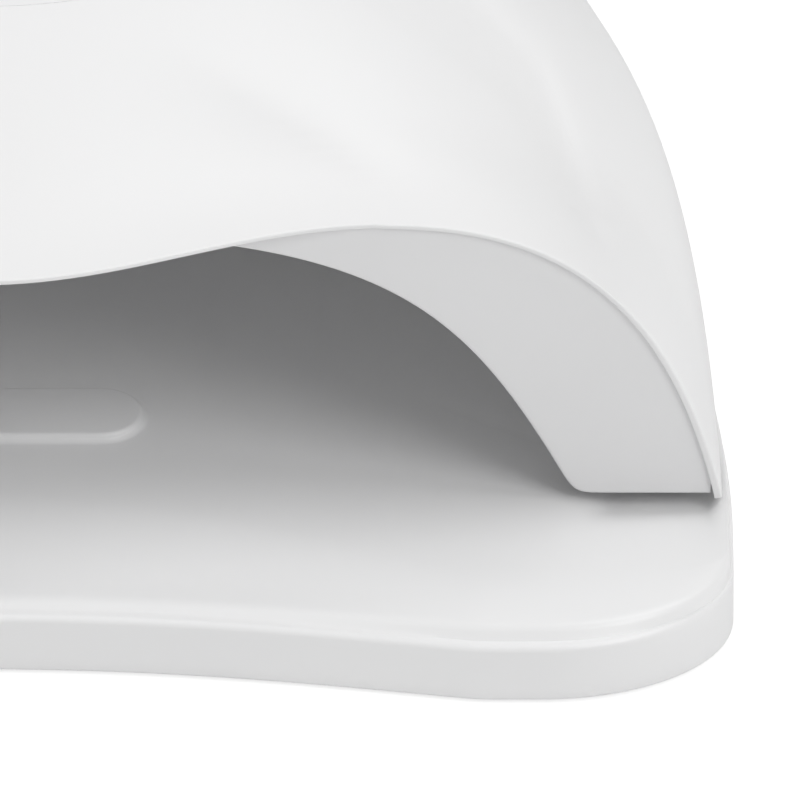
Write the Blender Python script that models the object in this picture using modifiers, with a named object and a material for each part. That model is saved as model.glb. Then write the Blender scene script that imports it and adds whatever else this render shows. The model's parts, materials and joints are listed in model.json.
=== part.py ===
"""LED nail lamp: a moulded housing with a visor and a hand opening, standing on a loose tray.

Metres, +Z up, +X to the right of someone who sits in front of the lamp, +Y to its back.
The origin is on the table, in the middle of the tray.
"""

import math

import bmesh
import bpy
from mathutils import Matrix, Vector

# Tray: outline
tray_width = 0.225
tray_depth = 0.200
widest_from_front = 0.032
corner_width = 0.029
corner_depth = 0.022
dip_depth = 0.0084
dip_from_corner = 0.0085

# Tray: heights and steps
foot_lift = 0.0005
foot_edge = 0.0005
rim_height = 0.0099
plateau_height = 0.0132
tray_wall = 0.0024
edge_radius = 0.0012
ledge_width = 0.0012
side_step = 0.0008
shoulder_run = 0.0127
scoop_run = 0.0150
scoop_depth = 0.0016

# Tray: finger rest on the floor
rest_length = 0.0480
rest_depth = 0.0136
rest_end = 0.0060
rest_height = 0.0012
rest_from_front = 0.0594

# Tray: cover, feet, bosses and magnets
cover_thickness = 0.0018
cover_recess = 0.0016
rubber_radius = 0.0070
boss_radius = 0.0036
magnet_radius = 0.0040
magnet_height = 0.0030
magnet_wall = 0.0014

# Fits
clearance = 0.0003
overrun = 0.0020

# Housing: outline and lip
apron_depth = 0.0355
shell_wall = 0.0020
brow_height = 0.0029
edge_lift = 0.0006
visor_reach = 0.0162
arch_reach = 0.0506
brim_slope = math.radians(13)
crown_slope = math.radians(16)
foot_flare = 0.095
valley_depth = 0.0008

# Housing: flat panel on top
panel_from_front = 0.0910
panel_side_margin = 0.0114
panel_end_margin = 0.0134
crown_room = 0.0059
panel_tilt = math.radians(8)
panel_thickness = 0.0018
panel_ledge = 0.0030

# Housing: bezel and hand opening
bezel_recess = 0.0008
bezel_thickness = 0.0022
opening_height = 0.0460
opening_draw = 0.0080
opening_corner = 0.0048
reflector_wall = 0.0014
reflector_lip = 0.0008
reflector_flare = 0.10
ceiling_rise = 0.0054
ceiling_half_width = 0.0400
ceiling_half_depth = 0.0300
ceiling_from_front = 0.0880
ceiling_slope = math.radians(12)

# Housing: frame, magnets and screws
frame_thickness = 0.0026
frame_room = 0.0016
screw_radius = 0.0013
screw_length = 0.0090
head_radius = 0.0026
head_height = 0.0011
boss_margin = 0.0013
frame_boss_height = 0.0104
boss_rib_width = 0.0014
boss_rib_inset = 0.0015
front_screw_offset = 0.0100
back_screw_turn = math.radians(56)
front_magnet_offset = 0.0260
back_magnet_turn = math.radians(45)

# Lamp beads and their boards
bead_radius = 0.0026
bead_proud = 0.0012
bead_gap = 0.0006
board_gap = 0.0006
beads_per_side = 6
board_thickness = 0.0010
ceiling_board_margin = 0.0060
ceiling_bead_inset = 0.0108
ceiling_beads = 8
sensor_radius = 0.0022
sensor_spacing = 0.0080
sensor_width = 0.0160
sensor_depth = 0.0070

# Keys, switches and display, in the panel's own plane
key_radius = 0.0056
key_spacing = 0.0180
row_offset = 0.0090
key_proud = 0.0010
key_travel = 0.0006
key_flange = 0.0012
key_flange_height = 0.0008
stem_radius = 0.0016
switch_size = 0.0062
switch_height = 0.0036
plunger_proud = 0.0010
plunger_depth = 0.0014
display_width = 0.0280
display_depth = 0.0125
window_flange = 0.0015
window_flange_height = 0.0008
board_drop = 0.0076
post_radius = 0.0022
board_screw_radius = 0.0009
board_screw_length = 0.0033
board_head_radius = 0.0021
board_head_height = 0.0013
circuit_thickness = 0.0016

# Back of the housing: inlet and vents
cradle_height = 0.0044
inlet_radius = 0.0046
inlet_flange = 0.0016
inlet_room = 0.0023
inlet_bore = 0.0028
inlet_bore_depth = 0.0090
inlet_pin = 0.0009
cradle_width = 0.0100
vent_width = 0.0022
vent_pitch = 0.0060
vent_height = 0.0140
vent_bottom = 0.0220
vent_offset = 0.0200
vent_count = 5

# Shares that shape the curves
arch_shares = ((0.0, 0.0), (0.13, 0.646), (0.42, 1.0), (1.0, 1.0))
screw_across_share = 0.36
screw_back_share = 0.72
opening_shares = ((0.0, 1.0), (0.68, 1.0), (0.82, 0.72), (1.0, 0.0))
shoulder_shares = ((0.10, 0.50), (0.30, 0.72), (0.62, 0.90), (1.0, 1.0))
crown_fullness_share = 1.35
wall_fullness_share = 1.45
brim_fullness_share = 1.0
bowl_crown_share = 1.15
bowl_fullness_share = 1.1
valley_shares = ((0.0, 0.0), (0.25, 0.056), (0.45, 0.175), (0.6, 0.256), (0.75, 0.288), (1.0, 0.3))
valley_end_share = 0.5
dip_curve_share = 1.2
lower_strip_shares = (1 / 6, 2 / 6)
upper_strip_shares = (3 / 6, 4 / 6)
key_dome_shares = ((0.0, 1.0), (0.6, 0.85), (0.92, 0.45), (1.0, 0.0))
post_across_share = 0.60
post_back_share = 0.40
post_front_share = 0.62
search_step_share = 0.01

# Steps of the curves
tray_front_steps = 8
tray_corner_steps = 6
tray_back_steps = 10
visor_steps = 6
arch_steps = 8
outline_steps = 12
corner_steps = 3
shell_rows = 8
reflector_rows = 6
strip_start = 1
round_sides = 14
bore_sides = 12
stud_sides = 8
screw_sides = 8
board_sides = 36

front_y = -tray_depth / 2
widest_y = front_y + widest_from_front
lip_y = front_y + apron_depth
seat_height = plateau_height + clearance
dip_half_width = tray_width / 2 - corner_width - dip_from_corner
shell_half_width = tray_width / 2 - side_step
back_depth = tray_depth - widest_from_front - side_step
visor_half_width = shell_half_width - arch_reach

# Between the shell and the bowl there is room for the magnets in their tubes
tube_radius = magnet_radius + clearance + magnet_wall
bowl_space = shell_wall + frame_room + 2 * tube_radius + clearance
side_space = bowl_space + reflector_wall + reflector_lip
opening_half_width = shell_half_width - side_space - opening_draw
boss_inset = shell_wall + frame_room + clearance + head_radius + boss_margin

# Heights, stacked from the hand opening up to the panel
edge_height = seat_height + edge_lift
opening_top = edge_height + opening_height
lip_height = opening_top + brow_height
ceiling_height = opening_top + ceiling_rise
ceiling_stack = reflector_wall + board_gap + board_thickness
panel_stack = panel_thickness + board_drop + circuit_thickness + board_head_height + clearance
panel_height = ceiling_height + ceiling_stack + crown_room + panel_stack

# The inlet lies on its cradle, between the shell's back and the bowl
inlet_height = seat_height + frame_thickness + cradle_height + clearance + inlet_flange + inlet_radius
inlet_length = bowl_space - inlet_room

# The panel goes round the keys and the display
key_row = -row_offset
display_row = row_offset
panel_half_width = key_spacing * 3 / 2 + key_radius + panel_side_margin
panel_half_depth = row_offset + key_radius + panel_end_margin

# Where the valley starts along the shell's edge, as one of its columns
valley_column = visor_steps + arch_steps // 2


# Start from an empty scene with one collection for the lamp and one for the cutters
for old in list(bpy.data.objects):
    bpy.data.objects.remove(old)

lamp_parts = bpy.data.collections.new("nail_lamp")
cutters = bpy.data.collections.new("cutters")
cutters.hide_render = True
for collection in (lamp_parts, cutters):
    bpy.context.scene.collection.children.link(collection)


def material(name, colour, roughness, metallic=0.0):
    made = bpy.data.materials.new(name)
    made.use_nodes = True
    shader = made.node_tree.nodes["Principled BSDF"]
    shader.inputs["Base Color"].default_value = (*colour, 1.0)
    shader.inputs["Roughness"].default_value = roughness
    shader.inputs["Metallic"].default_value = metallic
    return made


white_gloss = material("white_gloss", (0.90, 0.90, 0.90), 0.28)
white_satin = material("white_satin", (0.82, 0.82, 0.82), 0.45)
reflector_white = material("reflector_white", (0.78, 0.78, 0.79), 0.35)
panel_white = material("panel_white", (0.90, 0.90, 0.90), 0.28)
key_silver = material("key_silver", (0.75, 0.76, 0.78), 0.30, 0.6)
rubber = material("rubber", (0.16, 0.16, 0.17), 0.80)
steel = material("steel", (0.62, 0.62, 0.64), 0.30, 1.0)
nickel = material("nickel", (0.70, 0.70, 0.68), 0.25, 1.0)
green_board = material("green_board", (0.05, 0.22, 0.12), 0.50)
white_board = material("white_board", (0.85, 0.85, 0.83), 0.50)
black_plastic = material("black_plastic", (0.03, 0.03, 0.035), 0.40)
smoked_window = material("smoked_window", (0.05, 0.05, 0.06), 0.10)


def add_object(name, mesh, finish, parent=None, collection=lamp_parts):
    made = bpy.data.objects.new(name, mesh)
    if finish:
        mesh.materials.append(finish)
    collection.objects.link(made)
    made.parent = parent
    return made


def from_bmesh(name, shape, finish, parent=None, collection=lamp_parts):
    mesh = bpy.data.meshes.new(name)
    bmesh.ops.recalc_face_normals(shape, faces=shape.faces)
    shape.to_mesh(mesh)
    shape.free()
    return add_object(name, mesh, finish, parent, collection)


def smooth(made, angle=math.radians(35)):
    made.data.shade_smooth()
    made.data.set_sharp_from_angle(angle=angle)


def cutter(name, shape, parent=None):
    made = from_bmesh(name, shape, None, parent, cutters)
    made.hide_render = True
    made.display_type = "WIRE"
    return made


def boolean(target, tool, operation="DIFFERENCE"):
    change = target.modifiers.new(tool.name, "BOOLEAN")
    change.object = tool
    change.operation = operation
    change.solver = "EXACT"


def lofted(rings, capped=True):
    """Closed rings of points, skinned one to the next."""
    shape = bmesh.new()
    rows = [[shape.verts.new(point) for point in ring] for ring in rings]
    count = len(rows[0])
    for low, high in zip(rows, rows[1:]):
        for i in range(count):
            j = (i + 1) % count
            shape.faces.new((low[i], low[j], high[j], high[i]))
    if capped:
        shape.faces.new(rows[0][::-1])
        shape.faces.new(rows[-1])
    return shape


def add_cylinder(shape, radius, low, high, x=0.0, y=0.0, sides=bore_sides):
    """An upright cylinder between two heights, added to a bmesh."""
    place = Matrix.Translation((x, y, (low + high) / 2))
    bmesh.ops.create_cone(
        shape,
        cap_ends=True,
        segments=sides,
        radius1=radius,
        radius2=radius,
        depth=high - low,
        matrix=place,
    )


def add_box(shape, low, high):
    """A box between two corners, added to a bmesh."""
    low, high = Vector(low), Vector(high)
    size = high - low
    place = Matrix.Translation((low + high) / 2) @ Matrix.Diagonal((*size, 1.0))
    bmesh.ops.create_cube(shape, size=1.0, matrix=place)


def flat_plate(name, outlines, thickness, finish, place=None, parent=None):
    """A flat sheet whose first outline is its edge and whose others are its holes."""
    curve = bpy.data.curves.new(name, "CURVE")
    curve.dimensions = "2D"
    curve.fill_mode = "BOTH"
    curve.extrude = thickness / 2
    for outline in outlines:
        spline = curve.splines.new("POLY")
        spline.points.add(len(outline) - 1)
        spline.use_cyclic_u = True
        for point, (x, y) in zip(spline.points, outline):
            point.co = (x, y, 0.0, 1.0)
    drawn = bpy.data.objects.new(name, curve)
    cutters.objects.link(drawn)
    bpy.context.view_layer.update()
    evaluated = drawn.evaluated_get(bpy.context.evaluated_depsgraph_get())
    mesh = bpy.data.meshes.new_from_object(evaluated)
    bpy.data.objects.remove(drawn)
    shape = bmesh.new()
    shape.from_mesh(mesh)
    bmesh.ops.remove_doubles(shape, verts=shape.verts, dist=clearance / 100)
    bpy.data.meshes.remove(mesh)
    made = from_bmesh(name, shape, finish, parent)
    made.matrix_local = place or Matrix.Identity(4)
    return made


def turned(name, profile, finish, sides=16, place=None, parent=None):
    """A profile of (radius, height), top to bottom, spun round the local Z axis."""
    shape = bmesh.new()
    points = [shape.verts.new((radius, 0.0, height)) for radius, height in profile]
    for upper, lower in zip(points, points[1:]):
        shape.edges.new((upper, lower))
    mesh = bpy.data.meshes.new(name)
    shape.to_mesh(mesh)
    shape.free()
    made = add_object(name, mesh, finish, parent)
    made.matrix_local = place or Matrix.Identity(4)
    spin = made.modifiers.new("spin", "SCREW")
    spin.axis = "Z"
    spin.steps = sides
    spin.render_steps = sides
    spin.use_merge_vertices = True
    spin.merge_threshold = clearance / 10
    spin.use_smooth_shade = True
    return made


def circle(radius, x=0.0, y=0.0, sides=round_sides, radius_y=None):
    radius_y = radius_y or radius
    turns = [2 * math.pi * i / sides for i in range(sides)]
    return [(x + radius * math.cos(a), y + radius_y * math.sin(a)) for a in turns]


def bezier(points, share):
    """A point of the cubic curve that four points steer."""
    a, b, c, d = points
    rest = 1 - share
    return tuple(
        rest**3 * a[k] + 3 * rest**2 * share * b[k] + 3 * rest * share**2 * c[k] + share**3 * d[k]
        for k in range(len(a))
    )


def mirrored(half):
    """A closed ring from the half at +X, whose first and last points lie on the middle."""
    return half + [(-point[0], *point[1:]) for point in half[-2:0:-1]]


# Tray
def dip(x):
    """How far the tray's front edge and its steps follow the scoop for the wrist, 1 to 0."""
    across = min(abs(x) / dip_half_width, 1.0)
    return (1 - across**2) ** dip_curve_share


def tray_half(side_inset, front_inset, scoop):
    """Half of the tray's outline in plan, from the middle of the front to that of the back."""
    half = []
    corner_x = tray_width / 2 - corner_width
    for i in range(tray_front_steps):
        x = corner_x * i / tray_front_steps
        half.append((x, front_y + front_inset + (dip_depth + scoop) * dip(x)))
    for i in range(tray_corner_steps):
        turn = math.pi / 2 * i / tray_corner_steps
        x = corner_x + (corner_width - side_inset) * math.sin(turn)
        y = front_y + corner_depth - (corner_depth - front_inset) * math.cos(turn)
        half.append((x, y))
    half.append((tray_width / 2 - side_inset, front_y + corner_depth))
    half.append((tray_width / 2 - side_inset, (widest_y + front_y + corner_depth) / 2))
    depth = tray_depth - widest_from_front - side_inset
    for i in range(tray_back_steps + 1):
        turn = math.pi / 2 * i / tray_back_steps
        x = (tray_width / 2 - side_inset) * math.cos(turn)
        half.append((x, widest_y + depth * math.sin(turn)))
    half[-1] = (0.0, half[-1][1])
    return half


def tray_ring(side_inset, front_inset, height, scoop=0.0, sink=0.0):
    half = tray_half(side_inset, front_inset, scoop)
    front = [(x, y, height - sink * dip(x) * (y < widest_y)) for x, y in half]
    return mirrored(front)


def stadium(length, depth, end, x=0.0, y=0.0, steps=8):
    """A bar with elliptic ends, in plan."""
    outline = []
    for side in (1, -1):
        for i in range(steps + 1):
            turn = -math.pi / 2 + math.pi * i / steps
            across = length / 2 - end + end * math.cos(turn)
            outline.append((x + side * across, y + side * depth / 2 * math.sin(turn)))
    return outline


def build_tray():
    rise = plateau_height - rim_height
    rings = []
    inner = tray_wall + edge_radius
    ceiling = plateau_height - tray_wall
    rings.append(tray_ring(inner + side_step, tray_wall + shoulder_run + ledge_width, ceiling, scoop_run))
    rings.append(tray_ring(inner, tray_wall + ledge_width, rim_height - tray_wall))
    rings.append(tray_ring(tray_wall, tray_wall, cover_top() + clearance))
    rings.append(tray_ring(tray_wall, tray_wall, foot_lift))
    rings.append(tray_ring(foot_edge, foot_edge, foot_lift))
    rings.append(tray_ring(0.0, 0.0, foot_lift + foot_edge))
    rings.append(tray_ring(0.0, 0.0, rim_height - edge_radius / 2))
    rings.append(tray_ring(side_step / 4, edge_radius / 2, rim_height))
    rings.append(tray_ring(side_step / 2, ledge_width, rim_height))
    for run_share, rise_share in shoulder_shares:
        rings.append(
            tray_ring(
                side_step * (1 + run_share) / 2,
                ledge_width + shoulder_run * run_share,
                rim_height + rise * rise_share,
                scoop_run * run_share,
                scoop_depth * 4 * run_share * (1 - run_share) ** 2,
            )
        )
    tray = from_bmesh("base_tray", lofted(rings), white_gloss)

    # The finger rest, a low bar with a soft edge
    rest_y = front_y + rest_from_front
    layers = ((0.0, -tray_wall / 2), (0.0, rest_height / 2), (rest_height / 2, rest_height))
    pad = [
        [
            (x, y, plateau_height + height)
            for x, y in stadium(
                rest_length - 2 * inset, rest_depth - 2 * inset, rest_end - inset, 0.0, rest_y
            )
        ]
        for inset, height in layers
    ]
    boolean(tray, cutter("finger_rest_shape", lofted(pad)), "UNION")

    # Tubes under the plateau for the screws and the magnets
    tubes = bmesh.new()
    bores = bmesh.new()
    floor = cover_top()
    for x, y in tray_screw_places().values():
        add_cylinder(tubes, boss_radius, floor + clearance, plateau_height - tray_wall / 2, x, y)
        add_cylinder(bores, screw_radius + clearance, floor - overrun, floor + screw_length, x, y)
    for x, y in magnet_places().values():
        low = tray_magnet_bottom()
        add_cylinder(tubes, tube_radius, low, plateau_height - tray_wall / 2, x, y)
        add_cylinder(bores, magnet_radius + clearance, low - overrun, low + magnet_height + clearance, x, y)
    boolean(tray, cutter("tray_tubes", tubes), "UNION")
    boolean(tray, cutter("tray_bores", bores))
    smooth(tray)


def cover_bottom():
    return foot_lift + cover_recess


def cover_top():
    return cover_bottom() + cover_thickness


def corners(across_front, front, across_back, back):
    """The four places of a part that sits once in each corner, by name."""
    return {
        "front_left": (-across_front, front),
        "front_right": (across_front, front),
        "back_left": (-across_back, back),
        "back_right": (across_back, back),
    }


def tray_screw_places():
    across = tray_width * screw_across_share
    front = front_y + ledge_width + shoulder_run + boss_radius * 3
    return corners(across, front, across / 2, -front_y * screw_back_share)


def foot_places():
    places = tray_screw_places()
    nearer = 3 * rubber_radius
    return {
        name: (x * (1 - nearer / math.hypot(x, y)), y * (1 - nearer / math.hypot(x, y)))
        for name, (x, y) in places.items()
    }


def along_housing(inset, front_offset, back_turn):
    """Four places inside the housing's outline: two behind its feet and two round its back."""
    front = lip_y + front_offset
    across = (shell_half_width - inset) * math.cos(back_turn)
    back = widest_y + (back_depth - inset) * math.sin(back_turn)
    return corners(outline_half_width(inset, front), front, across, back)


def magnet_places():
    """The magnets of tray and housing face each other under the housing's side walls."""
    inset = shell_wall + frame_room + tube_radius
    return along_housing(inset, front_magnet_offset, back_magnet_turn)


def frame_screw_places():
    return along_housing(boss_inset, front_screw_offset, back_screw_turn)


def tray_magnet_bottom():
    return plateau_height - tray_wall / 2 - magnet_height - clearance


def disc(name, finish, radius, low, high, x, y, sides=round_sides):
    """One upright cylinder as a part of its own."""
    shape = bmesh.new()
    add_cylinder(shape, radius, low, high, x, y, sides)
    made = from_bmesh(name, shape, finish)
    smooth(made)
    return made


def screw(name, x, y, head_bottom, head):
    """A screw that points up, as one turned part."""
    profile = (
        (0.0, head + screw_length),
        (screw_radius / 2, head + screw_length),
        (screw_radius, head + screw_length - screw_radius),
        (screw_radius, head),
        (head_radius, head),
        (head_radius, 0.0),
        (0.0, 0.0),
    )
    return turned(name, profile, steel, screw_sides, Matrix.Translation((x, y, head_bottom)))


def build_tray_inner_parts():
    inset = tray_wall + clearance
    outline = mirrored(tray_half(inset, inset, 0.0))
    holes = [
        circle(screw_radius + clearance, x, y, bore_sides) for x, y in tray_screw_places().values()
    ]
    place = Matrix.Translation((0.0, 0.0, (cover_bottom() + cover_top()) / 2))
    flat_plate("tray_cover", [outline] + holes, cover_thickness, white_satin, place)
    for where, (x, y) in magnet_places().items():
        low = tray_magnet_bottom()
        disc(f"tray_magnet_{where}", nickel, magnet_radius, low, low + magnet_height, x, y)
    for where, (x, y) in foot_places().items():
        disc(f"tray_foot_{where}", rubber, rubber_radius, 0.0, cover_bottom() - clearance, x, y)
    for where, (x, y) in tray_screw_places().items():
        head_bottom = cover_bottom() - clearance - head_height
        screw(f"tray_screw_{where}", x, y, head_bottom, head_height)


# Domes: a skin of curves from an edge in space to a ring at the top
def hermite(start, leave, end, arrive, share):
    s2, s3 = share**2, share**3
    return (
        (2 * s3 - 3 * s2 + 1) * start
        + (s3 - 2 * s2 + share) * leave
        + (3 * s2 - 2 * s3) * end
        + (s3 - s2) * arrive
    )


def dome_point(dome, where, share):
    """A point of the dome: where counts along its edge, share runs from edge to ring."""
    first = min(int(where), len(dome) - 2)
    part = where - first
    low, high = (hermite(*curve, share) for curve in dome[first : first + 2])
    return low.lerp(high, part)


def dome_normal(dome, where, share):
    """The outward direction there."""
    step = 0.05
    along = dome_point(dome, where + step, share) - dome_point(dome, where - step, share)
    up = dome_point(dome, where, share + step) - dome_point(dome, where, share - step)
    return along.cross(up).normalized()


def panel_matrix():
    """The panel's own plane: X to the right, Y up its slope, Z out of it."""
    y = front_y + panel_from_front
    return Matrix.Translation((0.0, y, panel_height)) @ Matrix.Rotation(panel_tilt, 4, "X")


def onto_panel_edge(point):
    """Moves a point of the panel's plane onto the panel's elliptic edge."""
    place = panel_matrix()
    flat = place.inverted() @ point
    flat /= math.hypot(flat.x / panel_half_width, flat.y / panel_half_depth)
    return place @ flat


def panel_ring(inset):
    """The right half of the well's edge in the panel's plane, from front to back."""
    dome = shell_dome()
    half = []
    for i in range(len(dome)):
        point = dome_point(dome, shell_where(i, len(dome) - 1, 1.0), 1.0)
        flat = panel_matrix().inverted() @ onto_panel_edge(point)
        x = flat.x * (1 - inset / panel_half_width)
        half.append((x, flat.y * (1 - inset / panel_half_depth)))
    return half


def outline_half_width(inset, y):
    """Half-width of the housing's outline at a depth behind its widest place."""
    share = (y - widest_y) / (back_depth - inset)
    return (shell_half_width - inset) * math.sqrt(1 - share**2)


def housing_half(inset, start_y):
    """The housing's outline at its seat, from a point of the side to the middle of the back."""
    half = []
    first = math.asin((start_y - widest_y) / (back_depth - inset))
    for i in range(outline_steps + 1):
        turn = first + (math.pi / 2 - first) * i / outline_steps
        x = (shell_half_width - inset) * math.cos(turn)
        half.append((x, widest_y + (back_depth - inset) * math.sin(turn)))
    half[-1] = (0.0, half[-1][1])
    return half


def arch_steer():
    """The four points that steer the arch over the foot, as (x, z)."""
    foot_x = outline_half_width(0.0, lip_y)
    span = foot_x - visor_half_width
    rise = lip_height - edge_height
    return [(foot_x - span * x, edge_height + rise * z) for x, z in arch_shares]


def visor_y(x):
    """The visor's lip in plan: it swings forward in the middle."""
    share = min(abs(x) / visor_half_width, 1.0)
    return lip_y - visor_reach * (1 + math.cos(math.pi * share)) / 2


def arch_stations(steer, steps, y):
    """Points of an upright arch from its top to its foot, with its direction and its outside."""
    stations = []
    for i in range(steps + 1):
        share = i / steps
        x, z = bezier(steer, share)
        back_x, back_z = bezier(steer, share - 0.5 / steps)
        next_x, next_z = bezier(steer, share + 0.5 / steps)
        along = Vector((next_x - back_x, 0.0, next_z - back_z)).normalized()
        outward = Vector((-along.z, 0.0, along.x))
        stations.append((share, Vector((x, y, z)), along, outward))
    return stations


def arch_edge(steer, steps, y, flare_top, flare_foot, fullness_top, fullness_foot):
    """An upright arch's points with the way the skin leaves each of them."""
    edge = []
    for share, point, along, outward in arch_stations(steer, steps, y):
        flare = flare_top + (flare_foot - flare_top) * share
        leave = Vector((0.0, 1.0, 0.0)) + outward * flare - along * share
        fullness = fullness_top + (fullness_foot - fullness_top) * share
        edge.append((point, leave.normalized(), fullness))
    return edge


def base_edge(inset, start_y, corner_leave, fullness):
    """Points of the seat outline behind the arch's foot: there the skin soon leaves upright."""
    edge = []
    upright = Vector((0.0, 0.0, 1.0))
    for i, (x, y) in enumerate(housing_half(inset, start_y)[1:], 1):
        leave = corner_leave.lerp(upright, min(i / corner_steps, 1.0)).normalized()
        edge.append((Vector((x, y, seat_height - overrun)), leave, fullness))
    return edge


def shell_dome():
    """The outer skin of the shell's right half, as one curve for each step along its edge."""
    edge = []
    brim = Vector((0.0, math.cos(brim_slope), math.sin(brim_slope)))
    for i in range(visor_steps):
        x = visor_half_width * i / visor_steps
        edge.append((Vector((x, visor_y(x), lip_height)), brim, brim_fullness_share))
    slope = math.tan(brim_slope)
    steer = arch_steer()[::-1]
    edge += arch_edge(
        steer, arch_steps, lip_y, slope, foot_flare, brim_fullness_share, wall_fullness_share
    )
    foot = edge[-1][0]
    foot += (foot - Vector((steer[2][0], lip_y, steer[2][1]))).normalized() * overrun
    edge += base_edge(0.0, lip_y, edge[-1][1], wall_fullness_share)
    return steered_dome(
        edge, panel_matrix(), panel_half_width, panel_half_depth, crown_slope, crown_fullness_share
    )


def opening_steer(offset=0.0):
    """The four points that steer the hand opening's arch, as (x, z)."""
    rise = opening_height - opening_corner
    low = edge_height + opening_corner
    width = opening_half_width + offset
    return [(width * x, low + rise * z + offset * (z > 0)) for x, z in opening_shares]


def opening_foot(offset=0.0):
    """Where the hand opening's arch meets the seat."""
    return outline_half_width(side_space, lip_y) + offset


def opening_half(offset=0.0, steps=10):
    """The hand opening's right half in its upright plane, from the top to its foot."""
    steer = opening_steer(offset)
    half = [bezier(steer, i / steps) for i in range(steps + 1)]
    # The arch runs straight on into the corner, which ends flat
    before, start = steer[2:]
    slope = (start[0] - before[0]) / (before[1] - start[1])
    elbow = (start[0] + slope * (start[1] - edge_height), edge_height)
    end = (opening_foot(offset), edge_height)
    for i in range(1, corner_steps + 1):
        share = i / corner_steps
        half.append(bezier((start, elbow, elbow, end), share))
    return half


def reflector_front():
    return lip_y + bezel_recess + bezel_thickness + clearance


def reflector_dome():
    """The inner skin of the bowl's right half."""
    y = reflector_front() - overrun
    corner = opening_half(reflector_lip)[-corner_steps:]
    edge = arch_edge(
        opening_steer(reflector_lip),
        arch_steps,
        y,
        reflector_flare,
        reflector_flare / 2,
        bowl_fullness_share,
        bowl_fullness_share,
    )
    leave = edge[-1][1]
    edge += [(Vector((x, y, z)), leave, bowl_fullness_share) for x, z in corner]
    edge[-1][0].z = seat_height - overrun
    edge += base_edge(side_space - reflector_lip, y, leave, bowl_fullness_share)
    place = Matrix.Translation((0.0, front_y + ceiling_from_front, ceiling_height))
    return steered_dome(
        edge, place, ceiling_half_width, ceiling_half_depth, ceiling_slope, bowl_crown_share
    )


def steered_dome(edge, ring_place, half_width, half_depth, slope, crown_share):
    """Joins each point of an edge to its point of an elliptic ring with a smooth curve."""
    dome = []
    lengths = [0.0]
    for (low, _, _), (high, _, _) in zip(edge, edge[1:]):
        lengths.append(lengths[-1] + (high - low).length)
    for (start, leave, fullness), length in zip(edge, lengths):
        turn = math.pi * length / lengths[-1]
        x = half_width * math.sin(turn)
        y = -half_depth * math.cos(turn)
        if start.x == 0.0:
            x = 0.0
        end = ring_place @ Vector((x, y, 0.0))
        inward = Vector((-x / half_width**2, -y / half_depth**2, 0.0)).normalized()
        arrive = inward * math.cos(slope) + Vector((0.0, 0.0, 1.0)) * math.sin(slope)
        arrive = ring_place.to_3x3() @ arrive
        chord = (end - start).length
        dome.append((start, leave * chord * fullness, end, arrive * chord * crown_share))
    return dome


def valley_drift(share):
    """How far back along the dome's edge the soft valley of the shell has run, 0 to 1."""
    for (low, first), (high, last) in zip(valley_shares, valley_shares[1:]):
        if share <= high:
            return first + (last - first) * (share - low) / (high - low)


def shell_where(column, columns, share):
    """Place along the dome's edge of a column of the shell's skin: one column keeps to the valley."""
    start = valley_column
    now = start + (columns - start) * valley_drift(share)
    if column <= start:
        return column * now / start
    return now + (column - start) * (columns - now) / (columns - start)


def half_skin(name, rows, finish, wall, direction):
    """An open skin at +X from rows of points, mirrored and given its wall."""
    shape = bmesh.new()
    points = [[shape.verts.new(point) for point in row] for row in rows]
    for low, high in zip(points, points[1:]):
        for i in range(len(low) - 1):
            shape.faces.new((low[i], low[i + 1], high[i + 1], high[i]))
    bmesh.ops.remove_doubles(shape, verts=shape.verts, dist=clearance / 10)
    mesh = bpy.data.meshes.new(name)
    shape.to_mesh(mesh)
    shape.free()
    made = add_object(name, mesh, finish)
    mirror = made.modifiers.new("mirror", "MIRROR")
    mirror.merge_threshold = clearance / 10
    solid = made.modifiers.new("wall", "SOLIDIFY")
    solid.thickness = wall
    solid.offset = direction
    solid.use_even_offset = True
    solid.use_quality_normals = True
    return made


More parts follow.
